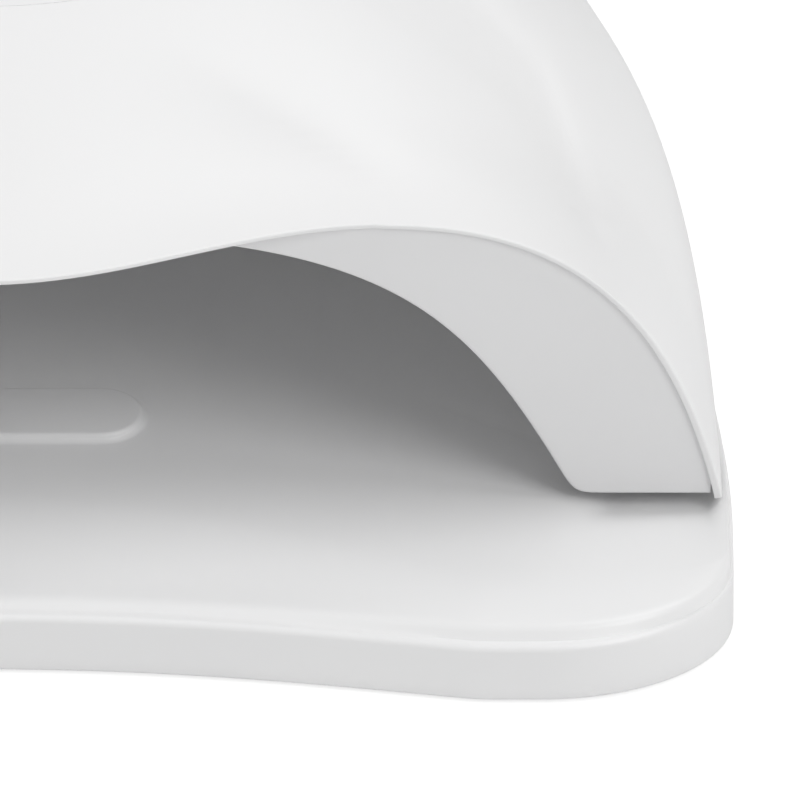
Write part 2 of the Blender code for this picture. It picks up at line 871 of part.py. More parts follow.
def build_shell():
    dome = shell_dome()
    rows = []
    for j in range(shell_rows + 1):
        share = j / shell_rows
        row = []
        for i in range(len(dome)):
            where = shell_where(i, len(dome) - 1, share)
            point = dome_point(dome, where, share)
            if i == valley_column:
                sunk = valley_depth * math.sin(math.pi * share) ** valley_end_share
                point -= dome_normal(dome, where, share) * sunk
            row.append(point)
        rows.append(row)
    rows[-1] = [onto_panel_edge(point) for point in rows[-1]]
    # The well that holds the panel: a short wall down and a ledge inward
    place = panel_matrix()
    drop = panel_thickness + clearance
    for inset in (0.0, panel_ledge):
        row = []
        for end in rows[shell_rows]:
            flat = place.inverted() @ end
            x = flat.x * (1 - inset / panel_half_width)
            y = flat.y * (1 - inset / panel_half_depth)
            row.append(place @ Vector((x, y, -drop)))
        rows.append(row)
    shell = half_skin("upper_shell", rows, white_gloss, shell_wall, -1.0)
    trim(shell, edge_height)
    bosses = bmesh.new()
    ribs = bmesh.new()
    bores = bmesh.new()
    low = seat_height + frame_thickness + clearance
    high = low + frame_boss_height
    for x, y in frame_screw_places().values():
        add_cylinder(bosses, boss_radius, low, high, x, y)
        add_cylinder(bores, screw_radius + clearance, low - overrun, low + screw_length, x, y)
        add_rib(ribs, x, y, boss_inset - boss_rib_inset, low + clearance, high - clearance)
    boolean(shell, cutter("shell_bosses", bosses), "UNION")
    boolean(shell, cutter("shell_ribs", ribs), "UNION")
    boolean(shell, cutter("shell_bores", bores))

    # The inlet's hole and the vents beside it, cut through the back wall
    holes = bmesh.new()
    back = back_wall_y(inlet_height)
    bmesh.ops.create_cone(
        holes,
        cap_ends=True,
        segments=round_sides,
        radius1=inlet_radius + clearance,
        radius2=inlet_radius + clearance,
        depth=4 * shell_wall,
        matrix=Matrix.Translation((0.0, back - shell_wall, inlet_height))
        @ Matrix.Rotation(math.pi / 2, 4, "X"),
    )
    for side in (-1, 1):
        for i in range(vent_count):
            x = side * (vent_offset + vent_pitch * i)
            low = (x - vent_width / 2, back / 2, vent_bottom)
            high = (x + vent_width / 2, back + overrun, vent_bottom + vent_height)
            add_box(holes, low, high)
    boolean(shell, cutter("back_holes", holes))
    smooth(shell)


def add_rib(shape, x, y, length, low, high):
    """An upright rib from a boss out to the housing's wall, added to a bmesh."""
    turn = math.atan2((y - widest_y) / back_depth**2, x / shell_half_width**2)
    place = Matrix.Translation((x, y, low)) @ Matrix.Rotation(turn, 4, "Z")
    size = Matrix.Diagonal((length, boss_rib_width, high - low, 1.0))
    centred = Matrix.Translation((0.5, 0.0, 0.5))
    bmesh.ops.create_cube(shape, size=1.0, matrix=place @ size @ centred)


def trim(made, height, front=None):
    """Cuts a skin flat below a height and, where a front is given, upright before that plane."""
    reach = tray_width + tray_depth
    low = height - 4 * overrun
    side = [(-reach, low), (reach, low), (reach, height)]
    if front is None:
        side.append((-reach, height))
    else:
        side += [(front, height), (front, reach), (-reach, reach)]
    block = lofted([[(x, y, z) for y, z in side] for x in (-reach, reach)])
    boolean(made, cutter(made.name + "_trim", block))


def back_wall_y(height):
    """Where the middle of the shell's back stands at a height."""
    back = shell_dome()[-1]
    share = 0.0
    while hermite(*back, share).z < height:
        share += search_step_share
    return hermite(*back, share).y


def upright_place(y):
    """A plane that faces the front: X to the right, Y up."""
    return Matrix.Translation((0.0, y, 0.0)) @ Matrix.Rotation(math.pi / 2, 4, "X")


def build_bezel():
    drop = shell_wall / math.cos(brim_slope) + clearance
    rise = math.tan(brim_slope)
    outer = []
    for i in range(visor_steps):
        x = visor_half_width * i / visor_steps
        outer.append((x, lip_height - drop + (lip_y - visor_y(x)) * rise))
    for _, point, _, outward in arch_stations(arch_steer()[::-1], arch_steps, 0.0):
        inside = point - outward * drop
        outer.append((inside.x, inside.z))
    outer[-1] = (outer[-1][0], edge_height)
    inner = opening_half()
    half = outer + inner[::-1]
    outline = half + [(-x, z) for x, z in half[-2:0:-1]]
    flat_plate(
        "front_bezel",
        [outline],
        bezel_thickness,
        white_satin,
        upright_place(lip_y + bezel_recess + bezel_thickness / 2),
    )


def strip_first():
    """Where the boards start along the bowl's edge, just behind the foot."""
    return arch_steps + corner_steps + strip_start


def bead_places(dome, band):
    """Places of the lamp beads on one band of the bowl's wall, as points with their normals."""
    first = strip_first()
    last = len(dome) - 1
    middle = sum(band) / len(band)
    places = []
    for k in range(beads_per_side):
        where = first + (last - first) * (k + 0.5) / beads_per_side
        point = dome_point(dome, where, middle)
        normal = dome_normal(dome, where, middle)
        for side in (-1, 1):
            turned_point = Vector((side * point.x, point.y, point.z))
            places.append((turned_point, Vector((side * normal.x, normal.y, normal.z))))
    return places


def add_stud(shape, point, normal, radius, inward, outward, sides=stud_sides):
    """A cylinder through a wall, from inside to outside along the wall's normal."""
    turn = normal.to_track_quat("Z", "Y").to_matrix().to_4x4()
    middle = point + normal * (outward - inward) / 2
    bmesh.ops.create_cone(
        shape,
        cap_ends=True,
        segments=sides,
        radius1=radius,
        radius2=radius,
        depth=outward + inward,
        matrix=Matrix.Translation(middle) @ turn,
    )


def ceiling_bead_places():
    """Places of the beads on the flat ceiling, round the sensor."""
    places = []
    outward = Vector((0.0, 0.0, 1.0))
    y = front_y + ceiling_from_front
    across = ceiling_half_width - ceiling_bead_inset
    along = ceiling_half_depth - ceiling_bead_inset
    for i in range(ceiling_beads):
        turn = 2 * math.pi * (i + 1 / 2) / ceiling_beads
        point = Vector((across * math.cos(turn), y + along * math.sin(turn), ceiling_height))
        places.append((point, outward))
    return places


def build_reflector():
    dome = reflector_dome()
    rows = []
    for j in range(reflector_rows + 1):
        rows.append([dome_point(dome, i, j / reflector_rows) for i in range(len(dome))])
    middle = Vector((0.0, front_y + ceiling_from_front, ceiling_height))
    rows.append([middle for _ in dome])
    bowl = half_skin("inner_reflector", rows, reflector_white, reflector_wall, 1.0)
    trim(bowl, seat_height, reflector_front())
    holes = bmesh.new()
    bands = [bead_places(dome, lower_strip_shares), bead_places(dome, upper_strip_shares)]
    for point, normal in bands[0] + bands[1] + ceiling_bead_places():
        add_stud(holes, point, normal, bead_radius + bead_gap, overrun, overrun * 2)
    add_box(
        holes,
        (-sensor_width / 2 - clearance, middle.y - sensor_depth / 2 - clearance, middle.z - overrun),
        (sensor_width / 2 + clearance, middle.y + sensor_depth / 2 + clearance, middle.z + overrun),
    )
    boolean(bowl, cutter("bead_holes", holes))
    smooth(bowl)

    # The boards behind the bowl, each with its beads
    gap = reflector_wall + board_gap
    strips = {"led_strip_lower": lower_strip_shares, "led_strip_upper": upper_strip_shares}
    for (name, shares), band in zip(strips.items(), bands):
        rows = []
        for share in shares:
            row = []
            for i in range(strip_first(), len(dome)):
                row.append(dome_point(dome, i, share) + dome_normal(dome, i, share) * gap)
            row[-1].x = 0.0
            rows.append(row)
        strip = half_skin(name, rows, white_board, board_thickness, 1.0)
        studs = bmesh.new()
        for point, normal in band:
            add_stud(studs, point, normal, bead_radius, bead_proud, gap + board_thickness / 2)
        boolean(strip, cutter(name + "_beads", studs), "UNION")
        smooth(strip)
    board_y = middle.y
    place = Matrix.Translation((0.0, board_y, ceiling_height + gap + board_thickness / 2))
    across = ceiling_half_width - ceiling_board_margin
    along = ceiling_half_depth - ceiling_board_margin / 2
    outline = circle(across, 0.0, 0.0, board_sides, along)
    board = flat_plate("led_board_ceiling", [outline], board_thickness, white_board, place)
    studs = bmesh.new()
    for point, normal in ceiling_bead_places():
        local = place.inverted() @ point
        add_stud(studs, local, normal, bead_radius, bead_proud, gap + board_thickness / 2)
    boolean(board, cutter("ceiling_beads", studs, board), "UNION")

    # The infrared pair in the middle of the ceiling
    sensor = bmesh.new()
    low = Vector((-sensor_width / 2, middle.y - sensor_depth / 2, ceiling_height - clearance))
    high = Vector((sensor_width / 2, middle.y + sensor_depth / 2, ceiling_height + reflector_wall))
    add_box(sensor, low, high)
    block = from_bmesh("hand_sensor", sensor, black_plastic)
    eyes = bmesh.new()
    for side in (-1, 1):
        x = side * sensor_spacing / 2
        add_cylinder(eyes, sensor_radius, low.z - bead_proud, low.z + board_thickness, x, middle.y)
    boolean(block, cutter("sensor_eyes", eyes), "UNION")


def build_frame():
    start = reflector_front()
    outer = housing_half(shell_wall + frame_room, start)
    inner = housing_half(bowl_space, start)
    outline = [(-x, y) for x, y in outer] + outer[-2::-1]
    outline += inner + [(-x, y) for x, y in inner[-2::-1]]
    holes = [
        circle(screw_radius + clearance, x, y, bore_sides) for x, y in frame_screw_places().values()
    ]
    middle = seat_height + frame_thickness / 2
    place = Matrix.Translation((0.0, 0.0, middle))
    frame = flat_plate("housing_frame", [outline] + holes, frame_thickness, white_satin, place)
    tubes = bmesh.new()
    bores = bmesh.new()
    low = seat_height + frame_thickness - middle
    for x, y in magnet_places().values():
        add_cylinder(tubes, tube_radius, low - frame_thickness / 2, low + magnet_height, x, y)
        add_cylinder(bores, magnet_radius + clearance, low, low + magnet_height + overrun, x, y)
    for x, y in frame_screw_places().values():
        depth = head_height + 2 * clearance
        low_side = -frame_thickness / 2
        add_cylinder(bores, head_radius + clearance, low_side - overrun, low_side + depth, x, y)
    back = back_wall_y(inlet_height)
    cradle_top = inlet_height - inlet_radius - inlet_flange - clearance - middle
    add_box(
        tubes,
        (-cradle_width / 2, back - inlet_length, low - frame_thickness / 2),
        (cradle_width / 2, back - shell_wall * 2, cradle_top),
    )
    boolean(frame, cutter("frame_tubes", tubes, frame), "UNION")
    boolean(frame, cutter("frame_bores", bores, frame))
    for where, (x, y) in magnet_places().items():
        low = seat_height + frame_thickness + clearance
        disc(f"housing_magnet_{where}", nickel, magnet_radius, low, low + magnet_height - clearance, x, y)


def build_inlet():
    back = back_wall_y(inlet_height)
    body = inlet_radius + inlet_flange
    face = 0.0
    seat = -2 * shell_wall
    end = -inlet_length
    profile = (
        (0.0, face - inlet_pin),
        (inlet_pin, face - inlet_pin),
        (inlet_pin, -inlet_bore_depth),
        (inlet_bore, -inlet_bore_depth),
        (inlet_bore, face),
        (inlet_radius, face),
        (inlet_radius, seat),
        (body, seat),
        (body, end),
        (0.0, end),
    )
    place = Matrix.Translation((0.0, back - clearance, inlet_height))
    place = place @ Matrix.Rotation(-math.pi / 2, 4, "X")
    turned("power_inlet", profile, black_plastic, round_sides, place)


# The panel and what hangs from it, in the panel's own plane
def key_places():
    return {name: (key_spacing * (i - 1.5), key_row) for i, name in enumerate(("10", "30", "60", "99"))}


def post_places():
    across, back = panel_half_width * post_across_share, panel_half_depth * post_back_share
    return [(across, back), (-across, back), (0.0, -panel_half_depth * post_front_share)]


def build_panel():
    plane = bpy.data.objects.new("panel_plane", None)
    lamp_parts.objects.link(plane)
    plane.matrix_world = panel_matrix()
    bpy.context.view_layer.update()

    top_middle = Matrix.Translation((0.0, 0.0, -panel_thickness / 2))
    edge = mirrored(panel_ring(clearance))
    panel = flat_plate("top_panel", [edge], panel_thickness, panel_white, top_middle, plane)
    holes = bmesh.new()
    reach = panel_thickness / 2 + overrun
    for x, y in key_places().values():
        add_cylinder(holes, key_radius + clearance, -reach, reach, x, y, round_sides)
    across, along = display_width / 2 + clearance, display_depth / 2 + clearance
    add_box(holes, (-across, display_row - along, -reach), (across, display_row + along, reach))
    boolean(panel, cutter("panel_holes", holes, panel))
    posts = bmesh.new()
    bores = bmesh.new()
    low = panel_thickness / 2 - panel_thickness - board_drop + clearance
    bore = board_screw_radius + clearance / 2
    for x, y in post_places():
        add_cylinder(posts, post_radius, low, 0.0, x, y)
        add_cylinder(bores, bore, low - overrun, low + board_screw_length, x, y)
    boolean(panel, cutter("panel_posts", posts, panel), "UNION")
    boolean(panel, cutter("panel_post_bores", bores, panel))

    # The window: a clear block with a flange behind the panel
    under = -panel_thickness - clearance
    window = bmesh.new()
    across, along = display_width / 2, display_depth / 2
    add_box(window, (-across, display_row - along, under - clearance), (across, display_row + along, 0.0))
    block = from_bmesh("display_window", window, smoked_window, plane)
    flange = bmesh.new()
    across, along = across + window_flange, along + window_flange
    add_box(
        flange,
        (-across, display_row - along, under - window_flange_height),
        (across, display_row + along, under),
    )
    boolean(block, cutter("window_flange_shape", flange, plane), "UNION")

    # The circuit board with its display and its screws
    board_top = -panel_thickness - board_drop
    board_place = Matrix.Translation((0.0, 0.0, board_top - circuit_thickness / 2))
    margin = panel_ledge + shell_wall + 2 * clearance
    edge = circle(panel_half_width - margin, 0.0, 0.0, board_sides, panel_half_depth - margin)
    holes = [circle(board_screw_radius + clearance, x, y, bore_sides) for x, y in post_places()]
    flat_plate("control_board", [edge] + holes, circuit_thickness, green_board, board_place, plane)
    module = bmesh.new()
    top = under - window_flange_height - clearance
    across, along = display_width / 2 - clearance, display_depth / 2 - clearance
    low = (-across, display_row - along, board_top + clearance)
    add_box(module, low, (across, display_row + along, top))
    from_bmesh("display_module", module, black_plastic, plane)

    # Keys, each with the switch below it
    flange_top = -panel_thickness - clearance
    switch_top = board_top + clearance + switch_height
    stem_bottom = switch_top + plunger_proud + clearance
    for name, (x, y) in key_places().items():
        profile = [(key_radius * across, key_proud * up) for across, up in key_dome_shares]
        profile += [
            (key_radius, flange_top),
            (key_radius + key_flange, flange_top),
            (key_radius + key_flange, flange_top - key_flange_height),
            (stem_radius, flange_top - key_flange_height),
            (stem_radius, stem_bottom),
            (0.0, stem_bottom),
        ]
        place = Matrix.Translation((x, y, 0.0))
        turned(f"key_{name}", profile, key_silver, round_sides, place, plane)
        plunger = (
            (0.0, switch_top + plunger_proud),
            (stem_radius, switch_top + plunger_proud),
            (stem_radius, switch_top - plunger_depth),
            (0.0, switch_top - plunger_depth),
        )
        turned(f"plunger_{name}", plunger, black_plastic, screw_sides, place, plane)
        body = bmesh.new()
        half = switch_size / 2
        add_box(body, (x - half, y - half, board_top + clearance), (x + half, y + half, switch_top))
        switch = from_bmesh(f"tact_switch_{name}", body, black_plastic, plane)
        well = bmesh.new()
        depth = plunger_depth + key_travel + clearance
        add_cylinder(well, stem_radius + clearance, switch_top - depth, switch_top + overrun, x, y)
        boolean(switch, cutter(f"switch_well_{name}", well, plane))
    for i, (x, y) in enumerate(post_places(), 1):
        seat = board_top - circuit_thickness - clearance
        profile = (
            (0.0, board_top + board_screw_length),
            (board_screw_radius, board_top + board_screw_length),
            (board_screw_radius, seat),
            (board_head_radius, seat),
            (board_head_radius, seat - board_head_height),
            (0.0, seat - board_head_height),
        )
        turned(f"board_screw_{i}", profile, steel, screw_sides, Matrix.Translation((x, y, 0.0)), plane)


build_tray()
build_tray_inner_parts()
build_shell()
build_bezel()
build_reflector()
build_frame()
for where, (x, y) in frame_screw_places().items():
    screw(f"housing_screw_{where}", x, y, seat_height + clearance, head_height)
build_inlet()
build_panel()
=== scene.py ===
import json
import math

import bmesh
import bpy
from mathutils import Matrix, Vector

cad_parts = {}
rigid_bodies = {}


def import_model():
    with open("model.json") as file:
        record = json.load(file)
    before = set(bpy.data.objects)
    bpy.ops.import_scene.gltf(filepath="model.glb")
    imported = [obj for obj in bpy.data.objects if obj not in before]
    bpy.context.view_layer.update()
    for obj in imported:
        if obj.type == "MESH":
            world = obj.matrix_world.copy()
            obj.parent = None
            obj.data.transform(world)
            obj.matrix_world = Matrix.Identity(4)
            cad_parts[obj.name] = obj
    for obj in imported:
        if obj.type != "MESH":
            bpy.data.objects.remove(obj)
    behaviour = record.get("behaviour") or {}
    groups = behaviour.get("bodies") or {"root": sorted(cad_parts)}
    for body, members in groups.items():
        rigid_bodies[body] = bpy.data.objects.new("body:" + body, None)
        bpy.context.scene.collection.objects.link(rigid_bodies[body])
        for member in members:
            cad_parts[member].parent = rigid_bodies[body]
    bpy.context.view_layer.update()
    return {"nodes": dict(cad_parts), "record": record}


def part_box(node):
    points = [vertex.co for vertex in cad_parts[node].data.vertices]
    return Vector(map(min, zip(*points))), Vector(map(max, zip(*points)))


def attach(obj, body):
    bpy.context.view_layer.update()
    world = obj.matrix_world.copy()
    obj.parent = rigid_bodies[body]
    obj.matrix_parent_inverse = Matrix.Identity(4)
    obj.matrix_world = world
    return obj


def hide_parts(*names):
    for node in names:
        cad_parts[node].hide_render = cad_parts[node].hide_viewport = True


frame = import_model()
print("frame loaded with", len(frame["nodes"]), "nodes")

scene = bpy.context.scene
upright = Vector((0.0, 0.0, 1.0))


# Camera, lights, floor

photoView = {
    "aim": (0.0626, -0.0786, 0.0400),
    "elevation": 32.0,
    "distance": 5.0,
    "pictureWidth": 0.1192,
    "sensor": 36.0,
    "near": 0.05,
    "far": 20.0,
}

studio = {
    "worldLevel": 0.41,
    "lampSize": 0.7,
    "lampDistance": 1.4,
    "floorHalf": 4.0,
    "floorColour": (0.90, 0.90, 0.90),
    "floorShade": (0.885, 0.885, 0.885),
    "floorGrain": 40.0,
    "floorRoughness": 0.9,
    "floorGlow": 0.55,
    "glowLevel": 1.35,
}

lamps = {    # turn from the front, height in degrees, watts
    "leftLamp": (-90.0, 35.0, 7.0),
    "frontLamp": (45.0, 40.0, 5.2),
    "rightLamp": (90.0, 65.0, 4.3),
}


def addCamera(view):
    lens = bpy.data.cameras.new("photoCamera")
    lens.sensor_width = view["sensor"]
    lens.lens = view["sensor"] * view["distance"] / view["pictureWidth"]
    lens.clip_start = view["near"]
    lens.clip_end = view["far"]
    turn = math.radians(view["elevation"])
    back = Vector((0.0, -math.cos(turn), math.sin(turn)))
    camera = bpy.data.objects.new("photoCamera", lens)
    camera.location = Vector(view["aim"]) + back * view["distance"]
    camera.rotation_euler = back.to_track_quat("Z", "Y").to_euler()
    scene.collection.objects.link(camera)
    scene.camera = camera


def addLamp(name, turn, height, power):
    data = bpy.data.lights.new(name, "AREA")
    data.shape = "DISK"
    data.size = studio["lampSize"]
    data.energy = power
    turn, height = math.radians(turn), math.radians(height)
    away = Vector((math.cos(height) * math.sin(turn), -math.cos(height) * math.cos(turn), math.sin(height)))
    lamp = bpy.data.objects.new(name, data)
    lamp.location = away * studio["lampDistance"]
    lamp.rotation_euler = away.to_track_quat("Z", "Y").to_euler()
    scene.collection.objects.link(lamp)


# Materials: a wrapped socket does sums, a Finish is one material with its nodes

class Wire:
    def __init__(self, owner, socket):
        self.owner = owner
        self.socket = socket

    def sum(self, operation, first, second):
        return self.owner.add("ShaderNodeMath", {"operation": operation}, {0: first, 1: second})

    def __add__(self, other):
        return self.sum("ADD", self, other)

    def __radd__(self, other):
        return self.sum("ADD", other, self)

    def __sub__(self, other):
        return self.sum("SUBTRACT", self, other)

    def __rsub__(self, other):
        return self.sum("SUBTRACT", other, self)

    def __mul__(self, other):
        return self.sum("MULTIPLY", self, other)

    def __rmul__(self, other):
        return self.sum("MULTIPLY", other, self)

    def __truediv__(self, other):
        return self.sum("DIVIDE", self, other)

    def __gt__(self, other):
        return self.sum("GREATER_THAN", self, other)


class NodeWork:
    # adds nodes by their kind to a tree; a socket takes a number or a wire
    def feed(self, socket, value):
        if isinstance(value, Wire):
            self.tree.links.new(value.socket, socket)
        else:
            socket.default_value = value

    def add(self, kind, settings=None, sockets=None, out=0):
        node = self.tree.nodes.new(kind)
        for name, value in (settings or {}).items():
            setattr(node, name, value)
        for name, value in (sockets or {}).items():
            if isinstance(name, str):
                self.feed(next(s for s in node.inputs if s.name == name and s.enabled), value)
            else:
                self.feed(node.inputs[name], value)
        if isinstance(out, str):
            return Wire(self, next(s for s in node.outputs if s.name == out and s.enabled))
        return Wire(self, [s for s in node.outputs if s.enabled][out])


class Finish(NodeWork):
    def __init__(self, name):
        self.material = bpy.data.materials.new(name)
        self.material.use_nodes = True
        self.tree = self.material.node_tree
        self.shader = self.tree.nodes["Principled BSDF"]
        self.output = self.tree.nodes["Material Output"]

    def set(self, **values):
        for name, value in values.items():
            self.feed(self.shader.inputs[name.replace("_", " ")], value)

    def noise(self, scale, detail=2.0, roughness=0.5):
        place = self.add("ShaderNodeTexCoord", out="Object")
        sockets = {"Scale": scale, "Detail": detail, "Roughness": roughness, "Vector": place}
        return self.add("ShaderNodeTexNoise", None, sockets)

    def mixColour(self, share, first, second):
        sockets = {0: share, 6: (*first, 1.0), 7: (*second, 1.0)}
        return self.add("ShaderNodeMix", {"data_type": "RGBA"}, sockets, "Result")

    def bump(self, height, strength, distance):
        sockets = {"Height": height, "Strength": strength, "Distance": distance}
        return self.add("ShaderNodeBump", None, sockets)


plastic = {
    "ior": 1.48,
    "driftScale": 22.0,
    "driftDetail": 3.0,
    "driftGloss": 0.06,
    "speckDetail": 4.0,
    "speckRoughness": 0.6,
    "bumpDistance": 0.00004,
}
polish = {
    "streakDetail": 6.0,
    "streakRoughness": 0.7,
    "streakGloss": 0.16,
    "bumpStrength": 0.12,
    "bumpDistance": 0.00003,
    "glazeGloss": 0.05,
}


def mouldedPlastic(name, colour, shade, roughness, grain):
    # pigment that drifts very slightly, a fine mould grain, and gloss that varies with both
    finish = Finish(name)
    drift = finish.noise(plastic["driftScale"], plastic["driftDetail"])
    speck = finish.noise(grain["scale"], plastic["speckDetail"], plastic["speckRoughness"])
    finish.set(
        Base_Color=finish.mixColour(drift, shade, colour),
        Roughness=roughness + (speck - 0.5) * grain["gloss"] + (drift - 0.5) * plastic["driftGloss"],
        Normal=finish.bump(speck, grain["depth"], plastic["bumpDistance"]),
    )
    finish.shader.inputs["IOR"].default_value = plastic["ior"]
    return finish


shellWhite = mouldedPlastic(
    "shellWhite", (0.88, 0.88, 0.88), (0.86, 0.86, 0.865), 0.42,
    {"scale": 1400.0, "gloss": 0.10, "depth": 0.10},
)
trayWhite = mouldedPlastic(
    "trayWhite", (0.87, 0.87, 0.87), (0.85, 0.85, 0.855), 0.34,
    {"scale": 1100.0, "gloss": 0.08, "depth": 0.08},
)
# greyer than the shell's white: partly the bezel's own tint, partly painted shade for its recessed face
# under the lip
bezelGreyAndShade = mouldedPlastic(
    "bezelGreyAndShade", (0.83, 0.83, 0.835), (0.81, 0.81, 0.815), 0.50,
    {"scale": 1800.0, "gloss": 0.12, "depth": 0.16},
)
bowlWhite = mouldedPlastic(
    "bowlWhite", (0.84, 0.84, 0.85), (0.82, 0.82, 0.83), 0.22,
    {"scale": 700.0, "gloss": 0.06, "depth": 0.05},
)
frameWhite = mouldedPlastic(
    "frameWhite", (0.76, 0.76, 0.77), (0.73, 0.73, 0.74), 0.55,
    {"scale": 900.0, "gloss": 0.14, "depth": 0.25},
)
panelWhite = mouldedPlastic(
    "panelWhite", (0.885, 0.885, 0.89), (0.87, 0.87, 0.875), 0.26,
    {"scale": 1500.0, "gloss": 0.06, "depth": 0.05},
)
blackPlastic = mouldedPlastic(
    "blackPlastic", (0.030, 0.030, 0.034), (0.022, 0.022, 0.025), 0.42,
    {"scale": 1200.0, "gloss": 0.16, "depth": 0.22},
)
rubberGrey = mouldedPlastic(
    "rubberGrey", (0.15, 0.15, 0.16), (0.12, 0.12, 0.13), 0.82,
    {"scale": 900.0, "gloss": 0.14, "depth": 0.45},
)
whiteBoard = mouldedPlastic(
    "whiteBoard", (0.84, 0.84, 0.82), (0.78, 0.79, 0.77), 0.45,
    {"scale": 600.0, "gloss": 0.10, "depth": 0.10},
)
greenBoard = mouldedPlastic(
    "greenBoard", (0.05, 0.23, 0.12), (0.03, 0.16, 0.08), 0.40,
    {"scale": 500.0, "gloss": 0.14, "depth": 0.20},
)


def metal(name, colour, shade, roughness, scratch):
    finish = Finish(name)
    streak = finish.noise(scratch, polish["streakDetail"], polish["streakRoughness"])
    finish.set(
        Base_Color=finish.mixColour(streak, shade, colour),
        Metallic=1.0,
        Roughness=roughness + (streak - 0.5) * polish["streakGloss"],
        Normal=finish.bump(streak, polish["bumpStrength"], polish["bumpDistance"]),
    )
    return finish


def glazed(name, colour, shade, roughness, coat, grain):
    # a clear coat over a colour that drifts
    finish = Finish(name)
    drift = finish.noise(*grain)
    finish.set(
        Base_Color=finish.mixColour(drift, shade, colour),
        Roughness=roughness + drift * polish["glazeGloss"],
    )
    finish.shader.inputs["Coat Weight"].default_value = coat
    return finish


screwSteel = metal("screwSteel", (0.62, 0.62, 0.64), (0.50, 0.50, 0.52), 0.30, 900.0)
magnetNickel = metal("magnetNickel", (0.74, 0.73, 0.70), (0.64, 0.63, 0.60), 0.22, 700.0)
windowSmoke = glazed("windowSmoke", (0.026, 0.026, 0.032), (0.018, 0.018, 0.022), 0.07, 0.6, (60.0, 3.0))
lensAmber = glazed("lensAmber", (0.82, 0.76, 0.44), (0.74, 0.66, 0.30), 0.06, 0.8, (900.0, 2.0))

keySilver = Finish("keySilver")
flake = keySilver.noise(2600.0, 2.0, 0.8)
keySilver.set(
    Base_Color=keySilver.mixColour(flake, (0.66, 0.67, 0.69), (0.80, 0.81, 0.83)),
    Metallic=0.75,
    Roughness=0.30 + (flake - 0.5) * 0.14,
    Normal=keySilver.bump(flake, 0.10, polish["bumpDistance"]),
)

printGrey = mouldedPlastic(
    "printGrey", (0.10, 0.10, 0.11), (0.07, 0.07, 0.08), 0.50,
    {"scale": 2400.0, "gloss": 0.10, "depth": 0.08},
)
barGrey = mouldedPlastic(
    "barGrey", (0.055, 0.055, 0.062), (0.045, 0.045, 0.050), 0.22,
    {"scale": 1600.0, "gloss": 0.06, "depth": 0.04},
)

print("materials made")


# Mesh helpers

def newPiece(name, mesh, finish, body):
    piece = bpy.data.objects.new(name, mesh)
    scene.collection.objects.link(piece)
    mesh.materials.clear()
    mesh.materials.append(finish.material)
    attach(piece, body)
    return piece


fineMerge = 0.000004
noArea = 1e-14


def meshFrom(shape, name, smoothAngle=35.0):
    mesh = bpy.data.meshes.new(name)
    shape.to_mesh(mesh)
    shape.free()
    mesh.shade_smooth()
    mesh.set_sharp_from_angle(angle=math.radians(smoothAngle))
    return mesh


def loftRings(rings, closedRings=True, wrap=False, caps=False):
    # quads between neighbouring rows of points; wrap joins the last row to the first
    shape = bmesh.new()
    rows = [[shape.verts.new(point) for point in ring] for ring in rings]
    count = len(rows[0])
    pairs = list(zip(rows, rows[1:]))
    if wrap:
        pairs.append((rows[-1], rows[0]))
    for low, high in pairs:
        for i in range(count if closedRings else count - 1):
            j = (i + 1) % count
            shape.faces.new((low[i], low[j], high[j], high[i]))
    if caps:
        shape.faces.new(rows[0][::-1])
        shape.faces.new(rows[-1])
    return shape


def tidy(shape, merge=0.00002):
    bmesh.ops.remove_doubles(shape, verts=shape.verts, dist=merge)
    flat = [face for face in shape.faces if face.calc_area() < noArea]
    bmesh.ops.delete(shape, geom=flat, context="FACES_ONLY")
    loose = [edge for edge in shape.edges if not edge.link_faces]
    bmesh.ops.delete(shape, geom=loose, context="EDGES")
    bmesh.ops.recalc_face_normals(shape, faces=shape.faces)
    return shape


def applyModifiers(piece):
    # the modifiers' result becomes the piece's own mesh
    bpy.context.view_layer.update()
    graph = bpy.context.evaluated_depsgraph_get()
    result = bpy.data.meshes.new_from_object(piece.evaluated_get(graph))
    piece.modifiers.clear()
    piece.data = result
    return result


def quarter(steps):
    # the turns of a quarter circle
    return [math.pi / 2 * i / steps for i in range(steps + 1)]


def ringOf(radius, sides=32, radiusY=None):
    turns = [math.tau * i / sides for i in range(sides)]
    return [(radius * math.cos(t), (radiusY or radius) * math.sin(t)) for t in turns]


def roundedBox(width, depth, corner, steps=6):
    # closed outline of a rectangle with round corners
    outline = []
    for k, (x, y) in enumerate(((1, 1), (-1, 1), (-1, -1), (1, -1))):
        for i in range(steps + 1):
            turn = math.pi / 2 * (k + i / steps)
            across = x * (width / 2 - corner) + corner * math.cos(turn)
            outline.append((across, y * (depth / 2 - corner) + corner * math.sin(turn)))
    return outline


def latheMesh(profile, name, sides=48, place=None):
    # profile of (radius, height) spun round local Z
    place = place or Matrix.Identity(4)
    rings = []
    for radius, height in profile:
        rings.append([place @ Vector((x, y, height)) for x, y in ringOf(radius, sides)])
    return meshFrom(tidy(loftRings(rings)), name)


def bezierPoint(points, share):
    a, b, c, d = (Vector(point) for point in points)
    rest = 1 - share
    return a * rest**3 + b * 3 * rest**2 * share + c * 3 * rest * share**2 + d * share**3


def hermite(start, leave, end, arrive, share):
    s2, s3 = share**2, share**3
    return (
        start * (2 * s3 - 3 * s2 + 1)
        + leave * (s3 - 2 * s2 + share)
        + end * (3 * s2 - 2 * s3)
        + arrive * (s3 - s2)
    )


def smoothStep(value, low, high):
    t = min(max((value - low) / (high - low), 0.0), 1.0)
    return t * t * (3 - 2 * t)


# The outline that tray and housing share

